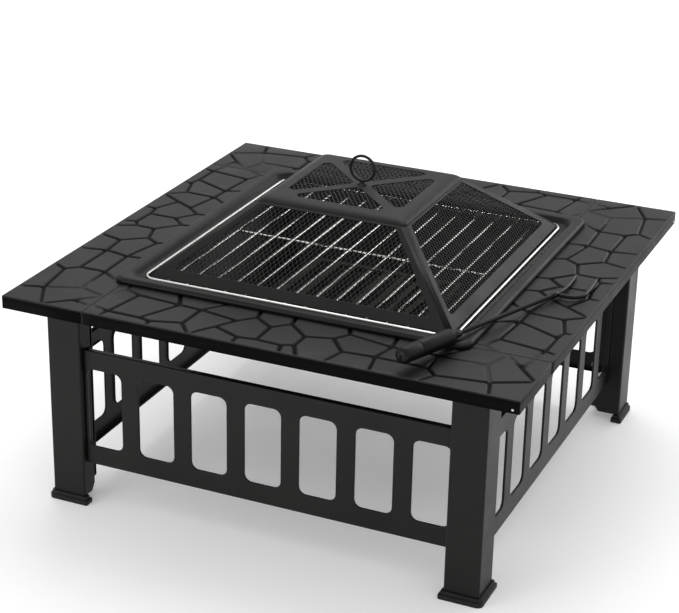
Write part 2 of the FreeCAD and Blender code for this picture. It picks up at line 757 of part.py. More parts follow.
def make_top_mesh():
    """Mesh under the cap plate, with a hole for the handle's screw and nut."""
    half = VENT_OUTER + MESH_LAP
    top = LID_TOP - LID_SHEET
    bottom = top - MESH_SHEET
    sheet = box(-half, half, -half, half, bottom, top)
    return sheet.cut(rod(HANDLE_NUT_ACROSS_FLATS, UP * (bottom - CUT_PAST), UP * (top + CUT_PAST)))


def make_handle_base():
    """Turned base of the ring: a flared foot and a neck, with a blind screw hole."""
    seat = UP * LID_TOP
    foot = Part.makeCone(HANDLE_BASE_RADIUS, HANDLE_NECK_RADIUS, HANDLE_FOOT_HEIGHT, seat)
    neck = Part.makeCylinder(HANDLE_NECK_RADIUS, HANDLE_BASE_HEIGHT, seat)
    hole = Part.makeCylinder(HANDLE_SCREW_RADIUS, HANDLE_BASE_HEIGHT - HANDLE_CROWN, seat)
    return joined([foot, neck]).cut(hole)


def make_ring():
    """Ring handle, upright across the lid, cut to sit on its base."""
    ring_bottom = LID_TOP + HANDLE_BASE_HEIGHT - RING_SINK
    centre = UP * (ring_bottom + RING_MIDDLE_RADIUS + RING_WIRE_RADIUS)
    ring = Part.makeTorus(RING_MIDDLE_RADIUS, RING_WIRE_RADIUS, centre, Vector(0, 1, 0))
    return ring.cut(make_handle_base())


def make_handle_screw():
    """Headless screw from the ring's base down through the cap plate."""
    top = LID_TOP + HANDLE_BASE_HEIGHT - HANDLE_CROWN
    return rod(HANDLE_SCREW_RADIUS, UP * (top - HANDLE_SCREW_LENGTH), UP * top)


def make_handle_nut():
    """Nut on the screw, against the cap plate's underside."""
    top = LID_TOP - LID_SHEET
    bottom = top - HANDLE_NUT_HEIGHT
    nut = hexagon(HANDLE_NUT_ACROSS_FLATS, HANDLE_NUT_HEIGHT, UP * bottom, UP)
    return nut.cut(rod(HANDLE_SCREW_RADIUS, UP * (bottom - CUT_PAST), UP * (top + CUT_PAST)))


# ---------------------------------------------------------------- poker

POKER_AXIS = POKER_COLLAR.sub(POKER_GRIP_END).normalize()


def along_poker(distance):
    """Point on the poker's axis, measured from the grip's rear shoulder."""
    return POKER_GRIP_END.add(POKER_AXIS * distance)


def turned_on_poker(outline):
    """Solid turned about the poker's axis from (distance, radius) points."""
    points = [Vector(outline[0][0], 0, 0)]
    points += [Vector(distance, radius, 0) for distance, radius in outline]
    points += [Vector(outline[-1][0], 0, 0), Vector(outline[0][0], 0, 0)]
    solid = Part.Face(Part.makePolygon(points)).revolve(ORIGIN, Vector(1, 0, 0), 360)
    solid.Placement = FreeCAD.Placement(POKER_GRIP_END, FreeCAD.Rotation(Vector(1, 0, 0), POKER_AXIS))
    return solid


def make_grip():
    """Moulded grip with a domed rear end and a ring groove, bored for the shaft."""
    groove_end = GRIP_GROOVE_AT + GRIP_GROOVE_WIDTH
    groove_radius = GRIP_RADIUS - GRIP_GROOVE_DEPTH
    outline = []
    for step in range(GRIP_DOME_STEPS + 1):
        angle = math.pi / 2 * step / GRIP_DOME_STEPS
        distance = GRIP_DOME * (1 - math.cos(angle))
        outline.append((distance, END_CAP_RADIUS + (GRIP_RADIUS - END_CAP_RADIUS) * math.sin(angle)))
    outline += [
        (GRIP_GROOVE_AT, GRIP_RADIUS), (GRIP_GROOVE_AT, groove_radius),
        (groove_end, groove_radius), (groove_end, GRIP_RADIUS),
        (GRIP_LENGTH - GRIP_DOME, GRIP_RADIUS),
        (GRIP_LENGTH - GRIP_NOSE_LENGTH, GRIP_RADIUS - GRIP_NOSE_DROP),
        (GRIP_LENGTH, FERRULE_RADIUS + 1),
    ]
    bore = rod(POKER_BORE_RADIUS, along_poker(-CUT_PAST), along_poker(GRIP_LENGTH + CUT_PAST))
    return turned_on_poker(outline).cut(bore)


def make_ferrule():
    """Tapered collar where the shaft leaves the grip."""
    start = GRIP_LENGTH
    end = start + FERRULE_LENGTH
    outline = [
        (start, FERRULE_RADIUS), (end - FERRULE_NOSE_LENGTH, FERRULE_RADIUS - FERRULE_TAPER),
        (end, FERRULE_RADIUS - FERRULE_NOSE_DROP),
    ]
    bore = rod(POKER_BORE_RADIUS, along_poker(start - CUT_PAST), along_poker(end + CUT_PAST))
    return turned_on_poker(outline).cut(bore)


def make_end_cap():
    """Small nub at the rear end of the grip."""
    outline = [
        (-END_CAP_HEIGHT, END_CAP_RADIUS - END_CAP_BEVEL), (-END_CAP_BEVEL, END_CAP_RADIUS),
        (0, END_CAP_RADIUS),
    ]
    return turned_on_poker(outline)


def make_poker_shaft():
    """Round shaft from inside the grip to the collar that holds the prongs."""
    length = POKER_COLLAR.sub(POKER_GRIP_END).Length
    outline = [
        (0, POKER_SHAFT_RADIUS), (length - COLLAR_LENGTH - COLLAR_TAPER, POKER_SHAFT_RADIUS),
        (length - COLLAR_LENGTH, COLLAR_RADIUS), (length, COLLAR_RADIUS),
        (length + COLLAR_TAPER, POKER_SHAFT_RADIUS),
    ]
    return turned_on_poker(outline)


def make_prong(points):
    """Bent prong with a drawn-out point."""
    tip_run = points[-1].sub(points[-2]).normalize()
    point = Part.makeCone(PRONG_RADIUS, PRONG_POINT_RADIUS, PRONG_POINT_LENGTH, points[-1], tip_run)
    return joined([bent_wire(points, PRONG_BEND, PRONG_RADIUS), point])


def make_poker_fork(shaft):
    """Straight prong and hooked prong in one piece, cut to the shaft's collar."""
    fork = joined([make_prong(STRAIGHT_PRONG), make_prong(HOOKED_PRONG)])
    return fork.cut(shaft)


# ---------------------------------------------------------------- all nodes

os.makedirs("parts", exist_ok=True)

bolt_holes = panel_bolt_holes(M6_HOLE_RADIUS)
for turns, corner in enumerate(LEG_CORNERS):
    save("leg_" + corner, quarter(make_leg(), turns).cut(bolt_holes))
    save("foot_" + corner, quarter(make_foot(), turns))
    save("leg_plate_" + corner, quarter(make_leg_plate(), turns))
    save("seam_strip_" + corner, quarter(make_seam_strip(), turns))

panel_shape = make_front_panel().cut(bolt_holes)
section_shape = make_front_section()
lid_side_shape = make_lid_side()
side_mesh_shape = make_side_mesh()
for turns, side in enumerate(SIDES):
    save("side_panel_" + side, quarter(panel_shape, turns))
    save("tabletop_" + side, quarter(section_shape, turns))
    save("lid_side_" + side, quarter(lid_side_shape, turns))
    save("lid_mesh_" + side, quarter(side_mesh_shape, turns))

panel_bolts = []
panel_nuts = []
leg_studs = []
leg_nuts = []
seam_studs = []
seam_nuts = []
corner_rivets = []
for turns in range(4):
    for place in panel_bolt_places():
        panel_bolts.append(quarter(make_panel_bolt(*place), turns))
        panel_nuts.append(quarter(make_panel_nut(*place), turns))
    leg_studs.append(quarter(hanging_stud(LEG_CENTRE.x, LEG_CENTRE.y, LEG_STUD_LENGTH), turns))
    leg_nuts.append(quarter(hanging_nut(LEG_CENTRE.x, LEG_CENTRE.y, LEG_PLATE), turns))
    for x, y in SEAM_STUD_PLACES:
        seam_studs.append(quarter(hanging_stud(x, y, SEAM_STUD_LENGTH), turns))
        seam_nuts.append(quarter(hanging_nut(x, y, SEAM_STRIP_THICKNESS), turns))
    corner_rivets.append(quarter(make_corner_rivet(), turns))
save("panel_bolts", Part.makeCompound(panel_bolts))
save("panel_nuts", Part.makeCompound(panel_nuts))
save("leg_studs", Part.makeCompound(leg_studs))
save("leg_nuts", Part.makeCompound(leg_nuts))
save("seam_studs", Part.makeCompound(seam_studs))
save("seam_nuts", Part.makeCompound(seam_nuts))
save("corner_rivets", Part.makeCompound(corner_rivets))

save("bowl", square_pan(BOWL_PROFILE, BOWL_SHEET, BOWL_CORNER_ROUND))
save("log_grate_frame", make_log_frame())
save("log_grate_bars", make_log_bars())
save("log_grate_feet", make_log_feet())

grid_rim = make_grid_rim()
save("grid_rim", grid_rim)
save("grid_rods", make_grid_rods(grid_rim))
save("grid_crossbar", make_grid_crossbar())

save("lid_top", make_lid_top())
save("lid_top_mesh", make_top_mesh())
save("handle_base", make_handle_base())
save("handle_ring", make_ring())
save("handle_screw", make_handle_screw())
save("handle_nut", make_handle_nut())

poker_shaft = make_poker_shaft()
save("poker_shaft", poker_shaft)
save("poker_fork", make_poker_fork(poker_shaft))
save("poker_grip", make_grip())
save("poker_ferrule", make_ferrule())
save("poker_end_cap", make_end_cap())
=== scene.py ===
import json
import math

import bmesh
import bpy
from mathutils import Matrix, Vector
from mathutils.geometry import tessellate_polygon


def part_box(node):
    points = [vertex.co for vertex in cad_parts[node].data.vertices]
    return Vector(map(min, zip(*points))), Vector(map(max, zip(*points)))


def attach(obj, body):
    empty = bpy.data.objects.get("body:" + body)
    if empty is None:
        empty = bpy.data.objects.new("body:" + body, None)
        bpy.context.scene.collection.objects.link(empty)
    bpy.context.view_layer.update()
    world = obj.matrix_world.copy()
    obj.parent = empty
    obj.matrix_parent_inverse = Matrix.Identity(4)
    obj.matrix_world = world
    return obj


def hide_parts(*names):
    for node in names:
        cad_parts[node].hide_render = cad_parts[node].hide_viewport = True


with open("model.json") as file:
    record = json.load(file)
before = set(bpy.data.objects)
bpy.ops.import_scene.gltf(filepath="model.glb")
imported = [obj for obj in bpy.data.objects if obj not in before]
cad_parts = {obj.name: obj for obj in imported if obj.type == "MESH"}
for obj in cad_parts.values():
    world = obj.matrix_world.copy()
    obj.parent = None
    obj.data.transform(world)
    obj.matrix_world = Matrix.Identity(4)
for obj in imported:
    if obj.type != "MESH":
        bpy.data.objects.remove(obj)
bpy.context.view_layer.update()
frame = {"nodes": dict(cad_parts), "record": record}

# Looks of a square steel fire pit table, built round its CAD frame.
# Shapes are worked out in millimetres and scaled to metres when a piece is made.
# Front is -Y and right is +X. One side or corner is made, then turned by quarters.

MM = 0.001
WHITE = (1.0, 1.0, 1.0, 1.0)
SIDES = ["front", "right", "back", "left"]
LEG_CORNERS = ["front_left", "front_right", "back_right", "back_left"]


def cad_box(node):
    """Lowest and highest corner of a CAD node, in millimetres."""
    low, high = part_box(node)
    return low / MM, high / MM


# ---------------------------------------------------------------- outlines

# Sine of a turn too small to count as a corner
STRAIGHT = 1e-4
# Share of an edge that the rounding of one corner may use up
ROUNDING_SHARE = 0.45


def moved_corner(before, corner, after, inset_before, inset_after, radius, steps):
    """One corner of a counter-clockwise outline after its two edges move inwards, rounded off."""
    first = (corner - before).normalized()
    second = (after - corner).normalized()
    normal_first = Vector((-first.y, first.x))
    normal_second = Vector((-second.y, second.x))
    turn = first.x * second.y - first.y * second.x
    if abs(turn) < STRAIGHT:
        return [corner + normal_first * inset_before] * steps
    start = corner + normal_first * inset_before
    gap = corner + normal_second * inset_after - start
    point = start + first * ((gap.x * second.y - gap.y * second.x) / turn)
    if steps == 1:
        return [point]
    angle = math.atan2(turn, first.dot(second))
    room = ROUNDING_SHARE * min((corner - before).length, (after - corner).length)
    slant = math.tan(abs(angle) / 2)
    radius = min(radius, room / slant)
    side = math.copysign(1.0, angle)
    centre = point - first * (radius * slant) + normal_first * (side * radius)
    points = []
    for step in range(steps):
        swing = angle * step / (steps - 1)
        spoke = -side * radius * normal_first
        points.append(centre + Matrix.Rotation(swing, 2) @ spoke)
    return points


def parallel(corners, radius, offset, steps=7):
    """Outline at a distance outside a counter-clockwise polygon with round corners."""
    points = []
    count = len(corners)
    for index in range(count):
        before, corner, after = [Vector(corners[near % count]) for near in (index - 1, index, index + 1)]
        inward_bend = (corner - before).cross(after - corner) < 0
        bend = radius - offset if inward_bend else radius + offset
        points += moved_corner(
            before, corner, after, -offset, -offset, max(bend, 0.1), steps if radius > 0 else 1,
        )
    return points


def rectangle(x0, x1, y0, y1):
    return [(x0, y0), (x1, y0), (x1, y1), (x0, y1)]


def fold(radius, depth, steps=5, margin=1.0):
    """Profile of a folded edge, as (distance from the finished edge, depth behind the sheet's face)."""
    points = [(radius + margin, 0.0)]
    for step in range(steps + 1):
        angle = math.pi / 2 * step / steps
        points.append((radius * (1 - math.sin(angle)), radius * (1 - math.cos(angle))))
    if depth > radius:
        points.append((0.0, depth))
    return points


def smooth_path(points, rounds=3):
    """Open path whose corners are cut again and again, with its ends kept."""
    for _ in range(rounds):
        cut = [points[0]]
        for first, second in zip(points, points[1:]):
            cut += [first.lerp(second, 0.25), first.lerp(second, 0.75)]
        points = cut + [points[-1]]
    return points


def filleted(points, radii, steps=5):
    """Open 2D path with round corners."""
    path = [Vector(points[0])]
    for before, corner, after, radius in zip(points, points[1:], points[2:], radii):
        path += moved_corner(Vector(before), Vector(corner), Vector(after), 0, 0, radius, steps)
    return path + [Vector(points[-1])]


# ---------------------------------------------------------------- meshes

class Shape:
    """Vertices in millimetres and faces that become one piece."""

    def __init__(self):
        self.points = []
        self.faces = []

    def add(self, point):
        self.points.append(Vector(point))
        return len(self.points) - 1

    def ring(self, points):
        return [self.add(point) for point in points]

    def band(self, inner, outer, closed=True):
        """Faces between two rows of vertices, seen from the side where the rows run counter-clockwise."""
        count = len(inner)
        for index in range(count if closed else count - 1):
            after = (index + 1) % count
            self.faces.append((inner[index], outer[index], outer[after], inner[after]))

    def bands(self, rings, closed=True):
        for inner, outer in zip(rings, rings[1:]):
            self.band(inner, outer, closed)

    def fill(self, ring, flip=False):
        self.faces.append(tuple(reversed(ring)) if flip else tuple(ring))

    def fill_with_holes(self, loops):
        """Flat triangles between an outer loop and hole loops, wound as the outer loop is."""
        flat = [index for loop in loops for index in loop]
        outlines = [[self.points[index] for index in loop] for loop in loops]
        outer = outlines[0]
        normal = Vector((0, 0, 0))
        for first, second in zip(outer, outer[1:] + outer[:1]):
            normal += first.cross(second)
        for triangle in tessellate_polygon(outlines):
            face = [flat[index] for index in triangle]
            a, b, c = [self.points[index] for index in face]
            if (b - a).cross(c - a).dot(normal) < 0:
                face.reverse()
            self.faces.append(tuple(face))

    def turned(self, quarters):
        """Copy turned about the vertical axis by quarter turns."""
        turn = Matrix.Rotation(math.pi / 2 * quarters, 3, "Z")
        copy = Shape()
        copy.points = [turn @ point for point in self.points]
        copy.faces = list(self.faces)
        return copy


def make_piece(name, shape, material, body, nodes=(), thickness=0.0, sharp=40.0):
    """One piece of the object that rides on a CAD body and stands for CAD nodes."""
    mesh = bpy.data.meshes.new(name)
    mesh.from_pydata([point * MM for point in shape.points], [], shape.faces)
    work = bmesh.new()
    work.from_mesh(mesh)
    bmesh.ops.remove_doubles(work, verts=work.verts, dist=0.02 * MM)
    bmesh.ops.dissolve_degenerate(work, edges=work.edges, dist=0.01 * MM)
    work.to_mesh(mesh)
    work.free()
    mesh.polygons.foreach_set("use_smooth", [True] * len(mesh.polygons))
    mesh.set_sharp_from_angle(angle=math.radians(sharp))
    mesh.materials.append(material)
    piece = bpy.data.objects.new(name, mesh)
    bpy.context.scene.collection.objects.link(piece)
    if thickness:
        solidify = piece.modifiers.new("sheet", "SOLIDIFY")
        solidify.thickness = thickness * MM
        solidify.offset = -1.0
        solidify.use_even_offset = True
    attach(piece, body)
    if nodes:
        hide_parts(*nodes)
    return piece


def pressed_sheet(outline, holes, place):
    """Flat sheet with folded outer edge and folded holes.

    An outline is (corners, corner radius, profile), and place(point, depth) puts it in space.
    """
    shape = Shape()
    flat_loops = []
    for sign, (corners, radius, profile) in [(-1, outline)] + [(1, hole) for hole in holes]:
        rings = []
        for distance, depth in profile:
            loop = parallel(corners, radius, sign * distance)
            rings.append(shape.ring([place(point, depth) for point in loop]))
        flat_loops.append(rings[0])
        if sign > 0:
            rings.reverse()
        shape.bands(rings)
    shape.fill_with_holes(flat_loops)
    return shape


def tube(path, radii, sides=16, closed=False):
    """Round bar along a path, with a radius for each point. Open ends are capped."""
    shape = Shape()
    count = len(path)
    rings = []
    side = None
    for index, point in enumerate(path):
        before = path[index - 1] if index or closed else path[index]
        after = path[(index + 1) % count] if index < count - 1 or closed else path[index]
        run = (after - before).normalized()
        if side is None:
            side = run.orthogonal().normalized()
        side = (side - run * side.dot(run)).normalized()
        up = run.cross(side)
        ring = []
        for step in range(sides):
            angle = 2 * math.pi * step / sides
            ring.append(point + (side * math.cos(angle) + up * math.sin(angle)) * radii[index])
        rings.append(shape.ring(ring))
    for first, second in zip(rings, rings[1:] + (rings[:1] if closed else [])):
        shape.band(second, first)
    if not closed:
        shape.fill(rings[0], flip=True)
        shape.fill(rings[-1])
    return shape


def square_rings(profile, radius, steps=9):
    """Square pan whose rings follow (half width, height) points from its middle outwards."""
    shape = Shape()
    rings = []
    for half, height in profile:
        loop = parallel(rectangle(-half, half, -half, half), radius, 0, steps)
        rings.append(shape.ring([(point.x, point.y, height) for point in loop]))
    shape.bands(rings)
    return shape, rings


# ---------------------------------------------------------------- materials

# How far edge wear, the painted edge highlight and softening reach, in metres
EDGE_REACH = 0.0009
# How far the softened normal leans from the true one, as a cosine: edge with wear and painted highlight,
# clean face
EDGE_COSINES = (0.80, 0.985)
# How much lighter edges get, partly as wear and partly as a painted highlight
WEAR_AND_HIGHLIGHT_BRIGHTNESS = 2.2
# Brightness of the painted shade at the bottom of the tabletop's grooves
GROOVE_PAINTED_SHADE = 0.12
COAT_SHINE = 0.2
HOLLOW_SHINE = 0.03


class Recipe:
    """Small helper that builds one node material."""

    def __init__(self, name, **shader_values):
        self.material = bpy.data.materials.new(name)
        self.material.use_nodes = True
        self.nodes = self.material.node_tree.nodes
        self.links = self.material.node_tree.links
        self.shader = self.nodes["Principled BSDF"]
        for socket, value in shader_values.items():
            self.shader.inputs[socket.replace("_", " ")].default_value = value
        self.place = self.nodes.new("ShaderNodeTexCoord").outputs["Object"]
        self.soft_normal = None

    def noise(self, scale, detail=3.0, roughness=0.55, stretch=None):
        """Noise with that many features a metre."""
        node = self.nodes.new("ShaderNodeTexNoise")
        node.inputs["Scale"].default_value = scale
        node.inputs["Detail"].default_value = detail
        node.inputs["Roughness"].default_value = roughness
        place = self.place
        if stretch:
            mapping = self.nodes.new("ShaderNodeMapping")
            mapping.inputs["Scale"].default_value = stretch
            self.links.new(place, mapping.inputs["Vector"])
            place = mapping.outputs["Vector"]
        self.links.new(place, node.inputs["Vector"])
        return node.outputs["Fac"]

    def spots(self, scale):
        """Distance to scattered points, for flecks and stipple."""
        node = self.nodes.new("ShaderNodeTexVoronoi")
        node.inputs["Scale"].default_value = scale
        self.links.new(self.place, node.inputs["Vector"])
        return node.outputs["Distance"]

    def span(self, value, low, high, to_low=0.0, to_high=1.0):
        """Value carried from one range to another, held at both ends."""
        node = self.nodes.new("ShaderNodeMapRange")
        self.links.new(value, node.inputs["Value"])
        sockets = ("From Min", "From Max", "To Min", "To Max")
        for socket, number in zip(sockets, (low, high, to_low, to_high)):
            node.inputs[socket].default_value = number
        return node.outputs["Result"]

    def height(self):
        """Height above the ground, in metres."""
        node = self.nodes.new("ShaderNodeSeparateXYZ")
        self.links.new(self.place, node.inputs["Vector"])
        return node.outputs["Z"]

    def edges(self):
        """One along edges and nought on flat faces; also softens every edge by a hair."""
        bevel = self.nodes.new("ShaderNodeBevel")
        bevel.samples = 3
        bevel.inputs["Radius"].default_value = EDGE_REACH
        self.soft_normal = bevel.outputs["Normal"]
        compare = self.nodes.new("ShaderNodeVectorMath")
        compare.operation = "DOT_PRODUCT"
        self.links.new(self.soft_normal, compare.inputs[0])
        self.links.new(self.nodes.new("ShaderNodeNewGeometry").outputs["Normal"], compare.inputs[1])
        return self.span(compare.outputs["Value"], *EDGE_COSINES, 1.0, 0.0)

    def math(self, operation, first, second):
        node = self.nodes.new("ShaderNodeMath")
        node.operation = operation
        for socket, value in zip(node.inputs, (first, second)):
            if isinstance(value, (int, float)):
                socket.default_value = value
            else:
                self.links.new(value, socket)
        return node.outputs["Value"]

    def mix(self, factor, first, second):
        """Colour between two colours or sockets."""
        node = self.nodes.new("ShaderNodeMix")
        node.data_type = "RGBA"
        self.links.new(factor, node.inputs["Factor"])
        for socket, value in ((node.inputs[6], first), (node.inputs[7], second)):
            if isinstance(value, tuple):
                socket.default_value = (*value, 1.0)
            else:
                self.links.new(value, socket)
        return node.outputs[2]

    def bump(self, layers):
        """Chain of bumps, as (height, distance in metres, strength)."""
        normal = self.soft_normal
        for value, distance, strength in layers:
            node = self.nodes.new("ShaderNodeBump")
            node.inputs["Distance"].default_value = distance
            node.inputs["Strength"].default_value = strength
            self.links.new(value, node.inputs["Height"])
            if normal:
                self.links.new(normal, node.inputs["Normal"])
            normal = node.outputs["Normal"]
        self.links.new(normal, self.shader.inputs["Normal"])

    def finish(self, color=None, roughness=None):
        for socket, value in (("Base Color", color), ("Roughness", roughness)):
            if value is not None:
                self.links.new(value, self.shader.inputs[socket])
        return self.material


def powder_coat(name, dark, light, wear_and_highlight_tone, roughness, peel=650.0, peel_depth=0.00006, groove_shade_heights=None):
    """Baked powder or paint: orange peel, faint clouding, edges lightened partly by wear and partly as a
    painted highlight, and painted shade in grooves when groove heights are given.
    """
    recipe = Recipe(name, Specular_IOR_Level=COAT_SHINE)
    cloud = recipe.noise(9.0, 4.0)
    color = recipe.mix(recipe.span(cloud, 0.35, 0.65), dark, light)
    fleck = recipe.span(recipe.noise(1400.0, 2.0), 0.62, 0.75)
    color = recipe.mix(recipe.math("MULTIPLY", fleck, 0.15), color, wear_and_highlight_tone)
    # Edges lighten: partly rubbed paint, partly a painted highlight along the folds.
    edge_wear_and_highlight = recipe.math("MULTIPLY", recipe.edges(), recipe.span(recipe.noise(60.0), 0.3, 0.7, 0.45, 1.0))
    edge_wear_and_highlight_color = tuple(channel * WEAR_AND_HIGHLIGHT_BRIGHTNESS for channel in wear_and_highlight_tone)
    color = recipe.mix(recipe.math("MULTIPLY", edge_wear_and_highlight, 0.9), color, edge_wear_and_highlight_color)
    # Painted shade: the colour darkens towards the bottom of the grooves, where shade falls; the paint
    # there also gets less shine.
    if groove_shade_heights:
        bottom, top = groove_shade_heights
        deep = recipe.span(recipe.height(), bottom, top, 1.0, 0.0)
        shade = tuple(channel * GROOVE_PAINTED_SHADE for channel in dark)
        color = recipe.mix(recipe.math("MULTIPLY", deep, 0.9), color, shade)
        shine = recipe.span(deep, 0.0, 1.0, COAT_SHINE, HOLLOW_SHINE)
        recipe.links.new(shine, recipe.shader.inputs["Specular IOR Level"])
    low, high = roughness
    satin = recipe.math("ADD", recipe.span(recipe.noise(16.0, 5.0), 0.3, 0.7, low, high),
                        recipe.span(recipe.noise(420.0, 2.0), 0.3, 0.7, -0.03, 0.03))
    recipe.bump([(recipe.noise(peel, 2.0, 0.4), peel_depth, 0.5)])
    return recipe.finish(color, satin)


def iron(name):
    """Heat-dulled cast iron with a sandy skin and a breath of rust."""
    recipe = Recipe(name, Specular_IOR_Level=0.35)
    rust = recipe.span(recipe.noise(45.0, 6.0, 0.65), 0.55, 0.72)
    cloud = recipe.span(recipe.noise(18.0), 0.3, 0.7)
    color = recipe.mix(cloud, (0.020, 0.019, 0.018), (0.042, 0.039, 0.036))
    color = recipe.mix(recipe.math("MULTIPLY", rust, 0.5), color, (0.085, 0.040, 0.020))
    roughness = recipe.span(recipe.noise(300.0, 3.0), 0.3, 0.7, 0.62, 0.92)
    recipe.bump([(recipe.noise(520.0, 4.0), 0.0004, 0.8), (recipe.noise(60.0), 0.001, 0.3)])
    return recipe.finish(color, roughness)


def plated(name, bright, dull, roughness, stretch=None):
    """Bright or zinc plate with fine drawing marks, smudges and dulled patches."""
    recipe = Recipe(name, Metallic=1.0)
    color = recipe.mix(recipe.span(recipe.noise(40.0, 5.0), 0.45, 0.75), bright, dull)
    low, high = roughness
    smudge = recipe.math("ADD", recipe.span(recipe.noise(25.0, 4.0), 0.3, 0.7, low, high),
                         recipe.span(recipe.noise(900.0, 2.0), 0.3, 0.7, -0.03, 0.03))
    recipe.bump([(recipe.noise(900.0, 2.0, 0.5, stretch), 0.00004, 0.4)])
    return recipe.finish(color, smudge)


def plastic(name, dark, light, stipple, depth, roughness):
    """Moulded plastic with a spark-eroded grain, handling shine, and edges lightened partly by scuffing
    and partly as a painted highlight.
    """
    recipe = Recipe(name, Specular_IOR_Level=COAT_SHINE)
    color = recipe.mix(recipe.span(recipe.noise(35.0, 4.0), 0.3, 0.7), dark, light)
    # Edges lighten: partly scuffing, partly a painted highlight.
    scuff_and_highlight = recipe.math("MULTIPLY", recipe.edges(), 0.5)
    color = recipe.mix(scuff_and_highlight, color, tuple(channel * 3.5 for channel in light))
    low, high = roughness
    recipe.bump([(recipe.noise(stipple, 3.0), depth, 0.7), (recipe.spots(stipple * 0.6), depth, 0.3)])
    return recipe.finish(color, recipe.span(recipe.noise(30.0, 5.0), 0.3, 0.7, low, high))


TABLE_TOP = cad_box("tabletop_front")[1].z
GROOVE_DEPTH = 2.5
GROOVE_SHADE_TOP = 0.5
# Tone of paint flecks, and of edges lightened partly by wear and partly as a painted highlight
WEAR_AND_HIGHLIGHT_TONE = (0.055, 0.054, 0.052)
MATERIALS = {
    "black_coat": powder_coat(
        "black_coat", (0.0055, 0.0055, 0.005), (0.008, 0.008, 0.0072), WEAR_AND_HIGHLIGHT_TONE, (0.36, 0.44),
    ),
    "tabletop_coat": powder_coat(
        "tabletop_coat", (0.0095, 0.009, 0.0086), (0.0135, 0.0128, 0.012), WEAR_AND_HIGHLIGHT_TONE, (0.38, 0.46),
        520.0, 0.00009, ((TABLE_TOP - GROOVE_DEPTH) * MM, (TABLE_TOP - GROOVE_SHADE_TOP) * MM),
    ),
    "bowl_enamel": powder_coat(
        "bowl_enamel", (0.007, 0.0064, 0.006), (0.0105, 0.0092, 0.0084), WEAR_AND_HIGHLIGHT_TONE, (0.36, 0.46),
    ),
    "lid_coat": powder_coat(
        "lid_coat", (0.0078, 0.0072, 0.0068), (0.0112, 0.010, 0.0093), WEAR_AND_HIGHLIGHT_TONE, (0.40, 0.5),
    ),
    "mesh_coat": powder_coat(
        "mesh_coat", (0.008, 0.0076, 0.0072), (0.014, 0.013, 0.012), WEAR_AND_HIGHLIGHT_TONE, (0.45, 0.62),
    ),
    "poker_coat": powder_coat(
        "poker_coat", (0.003, 0.003, 0.003), (0.005, 0.005, 0.005), WEAR_AND_HIGHLIGHT_TONE, (0.2, 0.3),
    ),
    "grate_iron": iron("grate_iron"),
    "grid_chrome": plated("grid_chrome", (0.80, 0.80, 0.79), (0.62, 0.60, 0.57), (0.08, 0.2)),
    "zinc_steel": plated("zinc_steel", (0.56, 0.57, 0.56), (0.40, 0.40, 0.38), (0.3, 0.5)),
    "bright_rivet": plated("bright_rivet", (0.72, 0.71, 0.69), (0.52, 0.51, 0.49), (0.16, 0.32)),
    "grip_plastic": plastic(
        "grip_plastic", (0.0022, 0.0022, 0.0022), (0.004, 0.004, 0.004), 1500.0, 0.00008, (0.38, 0.5),
    ),
    "foot_plastic": plastic(
        "foot_plastic", (0.007, 0.0068, 0.0065), (0.011, 0.0105, 0.010), 1200.0, 0.0001, (0.42, 0.56),
    ),
}
for subpart in frame["record"]["subparts"]:
    for slot in frame["nodes"][subpart["node"]].material_slots:
        slot.material = MATERIALS[subpart["material_slot"]]


# ---------------------------------------------------------------- tabletop sections

# One section lies flat with u along it from its seam to its corner, and v from its outer
# edge to its inner edge. Stones are counter-clockwise loops of these points.
STONE_POINTS = {
    "J1": (16, 105), "J2": (44, 93), "J3": (116, 87), "J4": (152, 85), "J5": (216, 73),
    "J6": (238, 97), "J7": (270, 74), "J8": (293, 98), "J9": (328, 66), "J10": (368, 78),
    "J11": (383, 101), "J12": (453, 87), "J13": (523, 89), "J14": (594, 90), "J16": (640, 102),
    "J18": (616, 38), "J19": (540, 27), "J20": (524, 45), "J21": (444, 46), "J22": (396, 42),
    "J23": (327, 33), "J24": (310, 24), "J25": (270, 26), "J26": (242, 22), "J27": (198, 41),
    "K": (184, 19), "J29": (150, 31), "J31": (104, 16), "J32": (84, 20), "J33": (32, 21),
    "B1": (0, 80), "B2": (14, 137), "B3": (91, 137), "B4": (187, 137), "B5": (230, 137),
    "B6": (287, 137), "B7": (368, 137), "B8": (447, 137), "S": (536, 137), "B9": (556, 137),
    "J15": (608, 137), "B11": (648, 137), "J17": (673, 67), "B13": (627, 0), "B14": (526, 0),
    "B15": (453, 0), "B16": (385, 0), "B17": (343, 0), "B18": (317, 0), "B19": (243, 0),
    "B20": (174, 0), "B21": (105, 0), "B22": (27, 0), "B23": (0, 28),
    "SO": (0, 0), "CO": (673, 0), "CI": (673, 137), "SI": (0, 137),
}
STONES = """
SI B1 J1 B2 | B1 B23 J33 J2 J1 | B23 SO B22 J33 | B2 J1 J2 J3 B3 | J2 J33 J32 J3
J33 B22 B21 J31 J32 | B3 J3 J4 B4 | J3 J32 J31 J29 J4 | J31 B21 B20 J29 | B4 J4 J5 J6 B5
J4 J29 B20 K J27 J5 | J27 K B20 B19 J26 | J5 J27 J26 J25 J7 J6 | B5 J6 J7 J8 B6
J26 B19 B18 J24 J25 | J7 J25 J24 J23 J9 J8 | B6 J8 J9 J10 J11 B7 | J24 B18 B17 J23
J9 J23 B17 B16 J22 J10 | J11 J10 J22 J21 J12 | B7 J11 J12 B8 | J22 B16 B15 J21
B8 J12 J13 B9 S | J12 J21 J20 J13 | J21 B15 B14 J19 J20 | B9 J13 J14 J15
J13 J20 J19 J18 J14 | J19 B14 B13 J18 | J15 J14 J18 J17 J16 | J15 J16 B11
B11 J16 J17 CI | J18 B13 CO J17
"""
